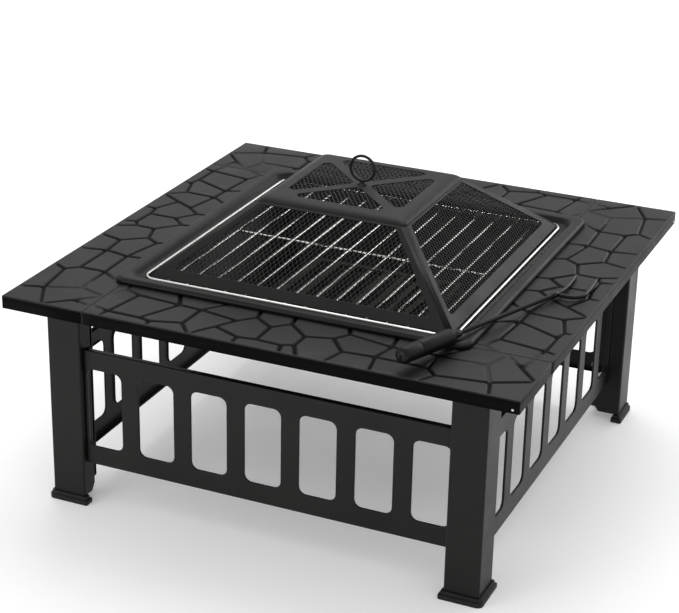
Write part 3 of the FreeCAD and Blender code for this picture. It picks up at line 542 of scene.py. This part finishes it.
# Inset from the joint between two stones, and share of the groove's depth there
GROOVE_SECTION = [
    (0.0, 1.0), (1.3, 1.0), (2.0, 0.86), (3.7, 0.14), (4.3, 0.02), (4.8, 0.0), (6.0, 0.0),
]
# How far from a section's edge a groove comes up to the flat
GROOVE_FADE = 7.0
STONE_ROUND = 6.5
SHEET = 1.5
OUTER_FOLD = 1.6
INNER_FOLD = 1.5
INNER_FLANGE = 12.0
# Depth of the grooves over plates that lie against the sheet, and how far round them
SHALLOW_DEPTH = 1.2
SHALLOW_MARGIN = 2.0
# How near the end of the flat a point counts as on its edge
ON_EDGE = 0.01
# Where u is nought on the front section
PATTERN_START = -268.0

section_low, section_high = cad_box("tabletop_front")
UNDER_SECTION = [
    cad_box(name) for name in (
        "seam_strip_front_left", "seam_strip_front_right",
        "leg_plate_front_left", "leg_plate_front_right",
    )
]
FLANGE = section_high.z - section_low.z
U_RANGE = (section_low.x - PATTERN_START + INNER_FOLD, section_high.x - PATTERN_START - OUTER_FOLD)
V_RANGE = (OUTER_FOLD, section_high.y - section_low.y - INNER_FOLD)
ORIGIN = Vector((PATTERN_START, section_low.y, TABLE_TOP))


def section_point(name):
    """Pattern point, pulled in to where the section's edges begin to fold."""
    u, v = STONE_POINTS[name]
    return Vector((min(max(u, U_RANGE[0]), U_RANGE[1]), min(max(v, V_RANGE[0]), V_RANGE[1])))


def on_edge(point):
    """Which edges of the section's flat a point lies on."""
    edges = set()
    for axis, limits in ((0, U_RANGE), (1, V_RANGE)):
        for limit in limits:
            if abs(point[axis] - limit) < ON_EDGE:
                edges.add((axis, limit))
    return edges


def stone_ring(names, inset, depth):
    """One level of a stone's side, as (u, v, height) points."""
    corners = [section_point(name) for name in names]
    edges = [on_edge(corner) for corner in corners]
    count = len(corners)
    points = []
    placed = []
    for index, corner in enumerate(corners):
        before = bool(edges[index - 1] & edges[index])
        after = bool(edges[index] & edges[(index + 1) % count])
        steps = 1 if edges[index] else 5
        radius = max(STONE_ROUND - inset, 1.2)
        if inset == 0:
            placed.append([corner] * steps)
        else:
            placed.append(moved_corner(
                corners[index - 1], corner, corners[(index + 1) % count],
                0 if before else inset, 0 if after else inset, radius, steps,
            ))
    for index in range(count):
        following = (index + 1) % count
        drop = 0.0 if edges[index] else -depth
        points += [(point.x, point.y, drop) for point in placed[index]]
        if edges[index] & edges[following]:
            continue
        start, end = placed[index][-1], placed[following][0]
        run = (end - start).normalized()
        if edges[index]:
            fade = start + run * GROOVE_FADE
            points.append((fade.x, fade.y, -depth))
        if edges[following]:
            fade = end - run * GROOVE_FADE
            points.append((fade.x, fade.y, -depth))
    return points


def stone_field():
    """The embossed flat of the section."""
    shape = Shape()
    for line in STONES.replace("\n", "|").split("|"):
        names = line.split()
        if not names:
            continue
        levels = [stone_ring(names, inset, GROOVE_DEPTH * share) for inset, share in GROOVE_SECTION]
        count = len(levels[0])
        rings = [shape.ring(level) for level in levels]
        for outer, inner in zip(rings, rings[1:]):
            for index in range(count):
                after = (index + 1) % count
                if not on_edge(levels[0][index]) & on_edge(levels[0][after]):
                    shape.faces.append((inner[index], outer[index], outer[after], inner[after]))
        shape.fill(rings[-1])
    return shape


def edge_stations(shape):
    """Where the folded edge leaves the flat: (vertex, direction, fold radius, flange depth)."""
    on_side = {}
    for index, point in enumerate(shape.points):
        for edge in on_edge(point):
            on_side.setdefault(edge, {})[round(point[1 - edge[0]], 2)] = index
    outer = on_side[(1, V_RANGE[0])]
    end = on_side[(0, U_RANGE[1])]
    inner = on_side[(1, V_RANGE[1])]
    seam = on_side[(0, U_RANGE[0])]
    south, east, north, west = [Vector(way) for way in ((0, -1), (1, 0), (0, 1), (-1, 0))]

    def corner(index, first, second, radius_first, radius_second, flange):
        fan = []
        for step in (1, 2, 3):
            angle = math.pi / 2 * step / 4
            spread = first * radius_first * math.cos(angle) + second * radius_second * math.sin(angle)
            fan.append((index, spread.normalized(), spread.length, flange))
        return fan

    stations = [(outer[key], south, OUTER_FOLD, FLANGE) for key in sorted(outer)]
    stations += corner(stations[-1][0], south, east, OUTER_FOLD, OUTER_FOLD, FLANGE)
    stations += [(end[key], east, OUTER_FOLD, FLANGE) for key in sorted(end)]
    stations += corner(stations[-1][0], east, north, OUTER_FOLD, INNER_FOLD, 0)
    meets_next = STONE_POINTS["S"][0]
    for key in sorted(inner, reverse=True):
        if key >= meets_next:
            stations.append((inner[key], north, INNER_FOLD, 0))
        if key <= meets_next:
            stations.append((inner[key], north, INNER_FOLD, INNER_FLANGE))
    stations += corner(stations[-1][0], north, west, INNER_FOLD, INNER_FOLD, 0)
    stations += [(seam[key], west, INNER_FOLD, 0) for key in sorted(seam, reverse=True)]
    stations += corner(stations[-1][0], west, south, INNER_FOLD, OUTER_FOLD, 0)
    return stations


def over_a_plate(point):
    """Whether a joiner strip or a leg plate lies against the sheet under a point of the flat."""
    x, y, _ = point + ORIGIN
    margin = SHALLOW_MARGIN
    return any(
        low.x - margin < x < high.x + margin and low.y - margin < y < high.y + margin
        for low, high in UNDER_SECTION
    )


def tabletop_section():
    """Front section: embossed flat, rounded folds, outer and inner flanges."""
    shape = stone_field()
    for point in shape.points:
        if over_a_plate(point):
            point.z = max(point.z, -SHALLOW_DEPTH)
    columns = []
    for index, direction, radius, flange in edge_stations(shape):
        base = shape.points[index]
        outward = Vector((direction.x, direction.y, 0))
        column = [index]
        for distance, depth in reversed(fold(1.0, 1.0, 4)[1:]):
            drop = Vector((0, 0, radius * depth))
            column.insert(1, shape.add(base + outward * (radius * (1 - distance)) - drop))
        bottom = None
        if flange:
            bottom = shape.add(base + outward * radius - Vector((0, 0, flange)))
        columns.append((column, bottom))
    for (first, first_bottom), (second, second_bottom) in zip(columns, columns[1:] + columns[:1]):
        for level in range(len(first) - 1):
            shape.faces.append((first[level], first[level + 1], second[level + 1], second[level]))
        if first_bottom is not None and second_bottom is not None:
            shape.faces.append((first[-1], first_bottom, second_bottom, second[-1]))
    shape.points = [point + ORIGIN for point in shape.points]
    return shape


section = tabletop_section()
for turn, side in enumerate(SIDES):
    make_piece(
        "stone_section_" + side, section.turned(turn), MATERIALS["tabletop_coat"], "stand",
        ["tabletop_" + side], SHEET,
    )


# ---------------------------------------------------------------- side panels and feet

WINDOW_COUNT = 7
WINDOW_PITCH = 89.0
WINDOW_WIDTH = 59.5
WINDOW_HEIGHTS = (100.0, 229.5)
WINDOW_FOLD_DEPTH = 3.4
WINDOW_ROUND = 12.0
PAN_DEPTH = 10.0
PANEL_SHEET = 1.2
PANEL_FOLD = 1.6
FOLD_MARGIN = 0.3
TAB_HEIGHT = 28.0
TAB_ROUND = 5.0


def side_panel():
    """Front panel: pressed pan with seven folded windows and four bolt tabs."""
    low, high = cad_box("side_panel_front")
    face_y = low.y
    middle = (low.x + high.x) / 2
    edge = fold(PANEL_FOLD, PAN_DEPTH, 5, FOLD_MARGIN)
    window_edge = fold(PANEL_FOLD, WINDOW_FOLD_DEPTH, 5, FOLD_MARGIN)
    windows = []
    for index in range(WINDOW_COUNT):
        x = middle + (index - (WINDOW_COUNT - 1) / 2) * WINDOW_PITCH
        corners = rectangle(x - WINDOW_WIDTH / 2, x + WINDOW_WIDTH / 2, *WINDOW_HEIGHTS)
        windows.append((corners, WINDOW_ROUND, window_edge))
    shape = pressed_sheet(
        (rectangle(low.x, high.x, low.z, high.z), PANEL_FOLD, edge), windows,
        lambda point, depth: Vector((point.x, face_y + depth, point.y)),
    )
    near, far = face_y + PAN_DEPTH, high.y
    for x, outward in ((low.x, -1), (high.x, 1)):
        for height in ((low.z + WINDOW_HEIGHTS[0]) / 2, (high.z + WINDOW_HEIGHTS[1]) / 2):
            bottom, top = height - TAB_HEIGHT / 2, height + TAB_HEIGHT / 2
            tab = [Vector((near, bottom)), Vector((near, top))]
            for before, corner, after in (((near, top), (far, top), (far, bottom)),
                                          ((far, top), (far, bottom), (near, bottom))):
                tab += moved_corner(Vector(before), Vector(corner), Vector(after), 0, 0, TAB_ROUND, 6)
            ring = shape.ring([(x, point.x, point.y) for point in tab])
            shape.fill(ring, flip=outward > 0)
    return shape


panel = side_panel()
for turn, side in enumerate(SIDES):
    make_piece(
        "slotted_panel_" + side, panel.turned(turn), MATERIALS["black_coat"], "stand",
        ["side_panel_" + side], PANEL_SHEET,
    )

FOOT_ARM = 5.5
FOOT_ROUND = 3.0
RIB_TOP = 35.3
# The rib stands off the leg's outer faces by this much, and is this thick
RIB_INSET = 1.8
RIB_THICKNESS = 7.2
# Foot cap's outline: how far it stands out from the leg's sheet, and height
FOOT_SECTION = [
    (5.3, 0.0), (6.2, 0.4), (6.5, 1.3), (6.5, 6.4), (6.2, 7.4), (5.4, 7.9), (4.1, 8.2),
    (3.5, 8.8), (3.5, 12.0), (3.1, 12.9), (2.3, 13.3), (0.3, 13.3),
]


def leg_angle(left, front, right, back, inside):
    """L-shaped outline along a leg's two outer faces."""
    return [
        (left, front), (right, front), (right, front + inside), (left + inside, front + inside),
        (left + inside, back), (left, back),
    ]


def foot_cap():
    """L-shaped cap in two soft steps under the front left leg, with the rib inside the leg's sheet."""
    low, high = cad_box("leg_front_left")
    outline = leg_angle(low.x, low.y, high.x, high.y, FOOT_ARM)
    shape = Shape()
    rings = []
    for grow, height in FOOT_SECTION:
        loop = parallel(outline, FOOT_ROUND, grow)
        rings.append(shape.ring([(point.x, point.y, height) for point in loop]))
    shape.fill(rings[0], flip=True)
    shape.bands(list(reversed(rings)))
    shape.fill(rings[-1])
    rib = leg_angle(
        low.x + RIB_INSET, low.y + RIB_INSET, high.x - RIB_INSET, high.y - RIB_INSET, RIB_THICKNESS,
    )
    rib_rings = []
    for grow, height in ((0, FOOT_SECTION[-1][1] - 0.5), (0, RIB_TOP - 0.6), (-0.6, RIB_TOP)):
        loop = parallel(rib, 1.2, grow, 4)
        rib_rings.append(shape.ring([(point.x, point.y, height) for point in loop]))
    shape.fill(rib_rings[0], flip=True)
    shape.bands(list(reversed(rib_rings)))
    shape.fill(rib_rings[-1])
    return shape


foot = foot_cap()
for turn, corner in enumerate(LEG_CORNERS):
    make_piece(
        "foot_cap_" + corner, foot.turned(turn), MATERIALS["foot_plastic"], "stand",
        ["foot_" + corner],
    )


# ---------------------------------------------------------------- bowl

BOWL_SHEET = 1.5
BOWL_ROUND = 22.0
bowl_low, bowl_high = cad_box("bowl")
BOWL_FLOOR = bowl_low.z + BOWL_SHEET
LIP = bowl_high.x
CROWN = bowl_high.z
LEDGE = 354.0


def bowl():
    """Square pan: flat floor, sloping sides, a ledge, and a rolled rim over the tabletop."""
    corners = [
        (150.0, BOWL_FLOOR), (180.0, BOWL_FLOOR), (245.5, LEDGE), (262.5, LEDGE),
        (269.0, CROWN), (282.6, CROWN), (LIP, 361.6), (LIP, 356.3),
    ]
    profile = filleted(corners, [14.0, 4.0, 4.5, 7.0, 4.2, 4.0], 6)
    shape, rings = square_rings(profile, BOWL_ROUND)
    shape.fill(rings[0])
    return shape


make_piece(
    "fire_bowl", bowl(), MATERIALS["bowl_enamel"], "bowl", ["bowl"], BOWL_SHEET,
)


# ---------------------------------------------------------------- lid

# Bends of the lid up to this many degrees are shaded as smooth
SOFT_BEND = 60.0
LID_SHEET = 1.2
LID_TOP_HALF = 113.8
LID_EDGE_ROUND = 24.0
LID_HIP_ROUND = 8.0
LID_JOINT = 458.8
WINDOW_LOW = (211.6, 371.7)
WINDOW_HIGH = (108.3, 457.3)
LID_WINDOW_ROUND = 4.0
LID_FOLD = 0.9
VENT_BAND = 9.0 * math.sqrt(2)
VENT_OUTER = 96.0
VENT_ROUND = 9.0
side_low, side_high = cad_box("lid_side_front")
LID_BASE_HALF = side_high.x
LID_BOTTOM = side_low.z
LID_TOP = cad_box("lid_top")[1].z
LID_SLOPE = (LID_BASE_HALF - LID_TOP_HALF) / (LID_TOP - LID_BOTTOM)
SLANT = math.hypot(1, LID_SLOPE)


def lid_half(height):
    """Half width of the lid's outer face at a height."""
    return LID_BASE_HALF - (height - LID_BOTTOM) * LID_SLOPE


def up_slope(height):
    """Distance up the lid's face from its bottom edge to a height."""
    return (height - LID_BOTTOM) * SLANT


def on_lid_face(point, depth):
    """Place of (x, distance up the slope) on the lid's front face, that deep behind it."""
    height = LID_BOTTOM + point[1] / SLANT
    return Vector((
        point[0], -lid_half(height) + depth / SLANT, height - depth * LID_SLOPE / SLANT,
    ))


def lid_side():
    """Front frame: a sloping sheet round one window, with half of the bend at each hip."""
    flat_low, flat_high = [lid_half(height) - LID_HIP_ROUND for height in (LID_BOTTOM, LID_JOINT)]
    top = up_slope(LID_JOINT)
    outline = [(-flat_low, 0), (flat_low, 0), (flat_high, top), (-flat_high, top)]
    window_bottom, window_top = up_slope(WINDOW_LOW[1]), up_slope(WINDOW_HIGH[1])
    window = [
        (-WINDOW_LOW[0], window_bottom), (WINDOW_LOW[0], window_bottom),
        (WINDOW_HIGH[0], window_top), (-WINDOW_HIGH[0], window_top),
    ]
    shape = pressed_sheet(
        (outline, 0, [(FOLD_MARGIN, 0), (0, 0)]),
        [(window, LID_WINDOW_ROUND, fold(LID_FOLD, LID_FOLD, 4, FOLD_MARGIN))], on_lid_face,
    )
    for way in (-1, 1):
        rows = []
        for height in (LID_BOTTOM, LID_JOINT):
            flat = lid_half(height) - LID_HIP_ROUND
            row = []
            for step in range(5):
                angle = math.pi / 4 * step / 4
                x = flat + LID_HIP_ROUND * math.sin(angle)
                y = -flat - LID_HIP_ROUND * math.cos(angle)
                row.append(shape.add((way * x, y, height)))
            rows.append(row if way > 0 else list(reversed(row)))
        shape.band(rows[1], rows[0], closed=False)
    return shape


def vent_corners(quarter):
    """Corners of one top vent, between the diagonal bands."""
    corners = [Vector((0, -VENT_BAND)), Vector((VENT_BAND - VENT_OUTER, -VENT_OUTER)),
               Vector((VENT_OUTER - VENT_BAND, -VENT_OUTER))]
    return [Matrix.Rotation(math.pi / 2 * quarter, 2) @ corner for corner in corners]


def lid_cap():
    """Top plate with four vents; its edges roll over into the slope of the sides."""
    slope_angle = math.atan(1 / LID_SLOPE)
    flat_half = LID_TOP_HALF - LID_EDGE_ROUND * math.tan(slope_angle / 2)
    profile = [(flat_half - 1.5, LID_TOP)]
    for step in range(9):
        angle = slope_angle * step / 8
        profile.append((
            flat_half + LID_EDGE_ROUND * math.sin(angle), LID_TOP - LID_EDGE_ROUND * (1 - math.cos(angle)),
        ))
    profile.append((lid_half(LID_JOINT), LID_JOINT))
    shape, rings = square_rings(profile, LID_HIP_ROUND)
    loops = [rings[0]]
    for quarter in range(4):
        vent_rings = []
        for distance, depth in reversed(fold(1.0, 1.2, 4)):
            loop = parallel(vent_corners(quarter), VENT_ROUND, distance, 9)
            vent_rings.append(shape.ring([(point.x, point.y, LID_TOP - depth) for point in loop]))
        shape.bands(vent_rings)
        loops.append(vent_rings[-1])
    shape.fill_with_holes(loops)
    return shape


# Expanded metal: strands zigzag along the long way of the diamonds
DIAMOND_WIDTH = 7.8
DIAMOND_HEIGHT = 12.2
BOND_LENGTH = 2.2
STRAND_WIDTH = 1.05
STRAND_THICKNESS = 0.9
STRAND_TILT = 0.22
# Share of its width by which a strand laps its neighbour at a bond
STRAND_LAP = 0.35


def expanded_metal(width, length, inside, place):
    """Sheet of diamonds over a width and a length, kept where inside(s, t) is true."""
    shape = Shape()
    sway = DIAMOND_WIDTH / 4 - STRAND_WIDTH * STRAND_LAP
    strands = int(width / DIAMOND_WIDTH)
    reach = int(length / DIAMOND_HEIGHT) + 1
    for strand in range(-strands, strands + 1):
        run = []
        for node in range(-reach, reach + 1):
            sign = 1 if (strand + node) % 2 else -1
            s = strand * DIAMOND_WIDTH / 2 + sign * sway
            for end in (-0.5, 0.5):
                t = node * DIAMOND_HEIGHT / 2 + end * BOND_LENGTH
                if inside(s, t):
                    run.append((s, t, sign))
        if len(run) < 2:
            continue
        rings = []
        for s, t, sign in run:
            half, deep = STRAND_WIDTH / 2, STRAND_THICKNESS / 2
            tilt = STRAND_TILT * sign
            corners = [
                (-half, -deep - tilt), (half, -deep + tilt), (half, deep + tilt), (-half, deep - tilt),
            ]
            rings.append(shape.ring([place(s + across, t, deep + depth) for across, depth in corners]))
        for first, second in zip(rings, rings[1:]):
            shape.band(first, second)
        shape.fill(rings[0])
        shape.fill(rings[-1], flip=True)
    return shape


MESH_LAP = 3.5
MESH_PLAY = 0.1
NUT_ROOM = 8.0


def side_mesh():
    """Expanded metal behind the front window."""
    middle = up_slope((WINDOW_LOW[1] + WINDOW_HIGH[1]) / 2)
    length = (WINDOW_HIGH[1] - WINDOW_LOW[1]) * SLANT
    taper = (WINDOW_LOW[0] - WINDOW_HIGH[0]) / length

    def inside(s, t):
        edge = (WINDOW_LOW[0] + WINDOW_HIGH[0]) / 2 - t * taper
        return abs(s) < edge + MESH_LAP and abs(t) < length / 2 + MESH_LAP

    def place(s, t, depth):
        return on_lid_face((s, middle + t), LID_SHEET + MESH_PLAY + depth)

    return expanded_metal(2 * WINDOW_LOW[0] + 2 * MESH_LAP, length, inside, place)


def top_mesh():
    """Expanded metal under the cap's four vents, with a hole for the handle's nut."""
    half = VENT_OUTER + MESH_LAP

    def inside(s, t):
        return max(abs(s), abs(t)) < half and math.hypot(s, t) > NUT_ROOM

    def place(s, t, depth):
        return Vector((s, t, LID_TOP - LID_SHEET - MESH_PLAY - depth))

    return expanded_metal(2 * half, 2 * half, inside, place)


lid_frame = lid_side()
window_mesh = side_mesh()
for turn, side in enumerate(SIDES):
    make_piece(
        "lid_frame_" + side, lid_frame.turned(turn), MATERIALS["lid_coat"], "lid",
        ["lid_side_" + side], LID_SHEET, SOFT_BEND,
    )
    make_piece(
        "window_mesh_" + side, window_mesh.turned(turn), MATERIALS["mesh_coat"], "lid",
        ["lid_mesh_" + side],
    )
make_piece(
    "lid_cap", lid_cap(), MATERIALS["lid_coat"], "lid", ["lid_top"], LID_SHEET, SOFT_BEND,
)
make_piece("vent_mesh", top_mesh(), MATERIALS["mesh_coat"], "lid", ["lid_top_mesh"])


# ---------------------------------------------------------------- ring handle

ring_low, ring_high = cad_box("handle_ring")
RING_WIRE = (ring_high.y - ring_low.y) / 2
RING_RADIUS = (ring_high.x - ring_low.x) / 2 - RING_WIRE
RING_CENTRE = ring_high.z - RING_WIRE - RING_RADIUS
RING_STEPS = 64
ring_path = []
for step in range(RING_STEPS):
    angle = 2 * math.pi * step / RING_STEPS
    ring_path.append(Vector((
        RING_RADIUS * math.cos(angle), 0, RING_CENTRE + RING_RADIUS * math.sin(angle),
    )))
make_piece(
    "pull_ring", tube(ring_path, [RING_WIRE] * len(ring_path), 16, True), MATERIALS["lid_coat"],
    "lid", ["handle_ring"],
)
# Turned base: radius and height above the cap
BASE_SECTION = [
    (8.0, 0.0), (8.0, 0.5), (7.6, 0.9), (6.2, 1.4), (4.9, 2.1), (4.1, 2.9), (3.7, 3.6), (3.2, 4.3),
    (1.6, 4.5),
]
make_piece(
    "ring_base",
    tube(
        [Vector((0, 0, LID_TOP + height)) for _, height in BASE_SECTION],
        [radius for radius, _ in BASE_SECTION], 28,
    ),
    MATERIALS["lid_coat"], "lid", ["handle_base"],
)


# ---------------------------------------------------------------- poker

GRIP_END = Vector((225.0, -388.3, 378.0))
COLLAR = Vector((339.6, -45.1, 362.6))
POKER_AXIS = (COLLAR - GRIP_END).normalized()
POKER_LENGTH = (COLLAR - GRIP_END).length
# Turned parts: distance along the poker and radius
GRIP_SECTION = [
    (-4.0, 1.2), (-3.8, 2.1), (-3.0, 2.9), (-1.6, 3.5), (-0.2, 3.6), (0.1, 4.4), (0.5, 6.4), (1.5, 8.8),
    (3.0, 10.6), (5.0, 11.8), (7.5, 12.3), (37.4, 12.4), (37.9, 12.2), (38.2, 11.5), (39.4, 11.5),
    (39.7, 12.2), (40.2, 12.4), (70.0, 12.3), (104.5, 12.3), (107.0, 12.0), (109.2, 11.0), (110.6, 9.4),
    (111.4, 7.6), (112.0, 6.0),
]
FERRULE_SECTION = [
    (111.5, 6.2), (112.5, 6.5), (120.0, 6.3), (128.6, 5.8), (130.4, 5.3), (131.6, 4.5), (132.0, 3.5),
]
SHAFT_SECTION = [
    (110.0, 3.25), (200.0, 3.25), (POKER_LENGTH - 15.0, 3.25), (POKER_LENGTH - 13.6, 3.6),
    (POKER_LENGTH - 12.2, 4.8), (POKER_LENGTH - 11.0, 5.0), (POKER_LENGTH - 1.2, 5.0),
    (POKER_LENGTH + 0.6, 4.5), (POKER_LENGTH + 2.0, 3.3),
]


def turned_part(outline, sides):
    path = [GRIP_END + POKER_AXIS * distance for distance, _ in outline]
    return tube(path, [radius for _, radius in outline], sides)


STRAIGHT_PRONG = [
    (339.6, -45.1, 362.6), (343.1, -26.1, 361.6), (344.1, -4.1, 360.4), (342.1, 35.9, 359.6),
    (341.4, 49.9, 359.3),
]
HOOKED_PRONG = [
    (338.6, -44.6, 362.4), (358.6, -47.6, 361.4), (375.6, -36.1, 360.4), (378.1, -8.1, 359.8),
    (375.6, 33.9, 359.5), (374.8, 47.8, 359.4),
]
PRONG_RADIUS = 3.0
TIP_RADIUS = 0.7
POINT_LENGTH = 17.0


def prong(points):
    """Bent round prong, drawn out to a blunt point."""
    path = smooth_path([Vector(point) for point in points])
    radii = []
    for point in path:
        share = min((path[-1] - point).length / POINT_LENGTH, 1.0)
        radii.append(TIP_RADIUS + (PRONG_RADIUS - TIP_RADIUS) * math.sin(share * math.pi / 2))
    return tube(path, radii, 14)


def merged(shapes):
    """Several shapes as one."""
    whole = Shape()
    for shape in shapes:
        start = len(whole.points)
        whole.points += shape.points
        whole.faces += [tuple(index + start for index in face) for face in shape.faces]
    return whole


make_piece(
    "poker_handle", turned_part(GRIP_SECTION, 40), MATERIALS["grip_plastic"], "poker",
    ["poker_grip", "poker_end_cap"], sharp=50.0,
)
make_piece(
    "poker_sleeve", turned_part(FERRULE_SECTION, 28), MATERIALS["poker_coat"], "poker",
    ["poker_ferrule"],
)
make_piece(
    "poker_rod", turned_part(SHAFT_SECTION, 20), MATERIALS["poker_coat"], "poker",
    ["poker_shaft"],
)
make_piece(
    "poker_prongs", merged([prong(STRAIGHT_PRONG), prong(HOOKED_PRONG)]), MATERIALS["poker_coat"],
    "poker", ["poker_fork"],
)


# ---------------------------------------------------------------- softened CAD edges

for node, width in (("log_grate_frame", 1.0), ("log_grate_bars", 1.0), ("log_grate_feet", 0.8)):
    bevel = frame["nodes"][node].modifiers.new("soft_edges", "BEVEL")
    bevel.width = width * MM
    bevel.segments = 3
    bevel.limit_method = "ANGLE"


# ---------------------------------------------------------------- stage, light and camera

FLOOR_HALF = 14.0
floor_mesh = bpy.data.meshes.new("floor")
floor_corners = rectangle(-FLOOR_HALF, FLOOR_HALF, -FLOOR_HALF, FLOOR_HALF)
floor_mesh.from_pydata([(x, y, 0) for x, y in floor_corners], [], [(0, 1, 2, 3)])
floor = bpy.data.objects.new("floor", floor_mesh)
bpy.context.scene.collection.objects.link(floor)
floor_recipe = Recipe(
    "pale_floor", Roughness=0.9, Specular_IOR_Level=0.1, Emission_Color=WHITE, Emission_Strength=0.22,
)
floor_cloud = floor_recipe.span(floor_recipe.noise(1.5), 0.3, 0.7)
floor_tint = floor_recipe.mix(floor_cloud, (0.90, 0.90, 0.90), (0.92, 0.92, 0.92))
floor_mesh.materials.append(floor_recipe.finish(floor_tint))


def softbox(name, place, target, width, height, power):
    """White rectangular lamp that faces a point."""
    light = bpy.data.lights.new(name, "AREA")
    light.shape = "RECTANGLE"
    light.size = width
    light.size_y = height
    light.energy = power
    lamp = bpy.data.objects.new(name, light)
    lamp.location = place
    lamp.rotation_euler = (Vector(target) - Vector(place)).to_track_quat("-Z", "Y").to_euler()
    bpy.context.scene.collection.objects.link(lamp)


softbox("top_light", (-0.4, 1.4, 3.2), (0.0, 0.0, 0.3), 2.6, 2.6, 44.0)
softbox("back_right_light", (1.35, 2.9, 1.5), (0.0, 0.0, 0.35), 1.8, 1.0, 14.0)
softbox("front_left_light", (-1.5, -2.7, 0.75), (0.0, 0.0, 0.25), 1.4, 0.35, 16.0)
world = bpy.data.worlds.new("studio")
world.use_nodes = True
world.node_tree.nodes["Background"].inputs["Color"].default_value = WHITE
world.node_tree.nodes["Background"].inputs["Strength"].default_value = 0.75
bpy.context.scene.world = world
bpy.context.scene.view_settings.view_transform = "Standard"

CAMERA_TARGET = Vector((-0.1021, 0.1570, 0.18))
CAMERA_DISTANCE = 3.2309
CAMERA_AZIMUTH = math.radians(23.41)
CAMERA_ELEVATION = math.radians(23.22)
CAMERA_ROLL = math.radians(1.206)
away = Vector((
    math.sin(CAMERA_AZIMUTH) * math.cos(CAMERA_ELEVATION),
    -math.cos(CAMERA_AZIMUTH) * math.cos(CAMERA_ELEVATION),
    math.sin(CAMERA_ELEVATION),
))
camera_data = bpy.data.cameras.new("camera")
camera_data.lens = 100.15
camera_data.sensor_width = 36.0
camera_data.clip_end = 60.0
camera = bpy.data.objects.new("camera", camera_data)
camera.rotation_mode = "QUATERNION"
camera.rotation_quaternion = (
    (-away).to_track_quat("-Z", "Y") @ Matrix.Rotation(CAMERA_ROLL, 3, "Z").to_quaternion()
)
camera.location = CAMERA_TARGET + away * CAMERA_DISTANCE
bpy.context.scene.collection.objects.link(camera)
bpy.context.scene.camera = camera

bpy.context.view_layer.update()
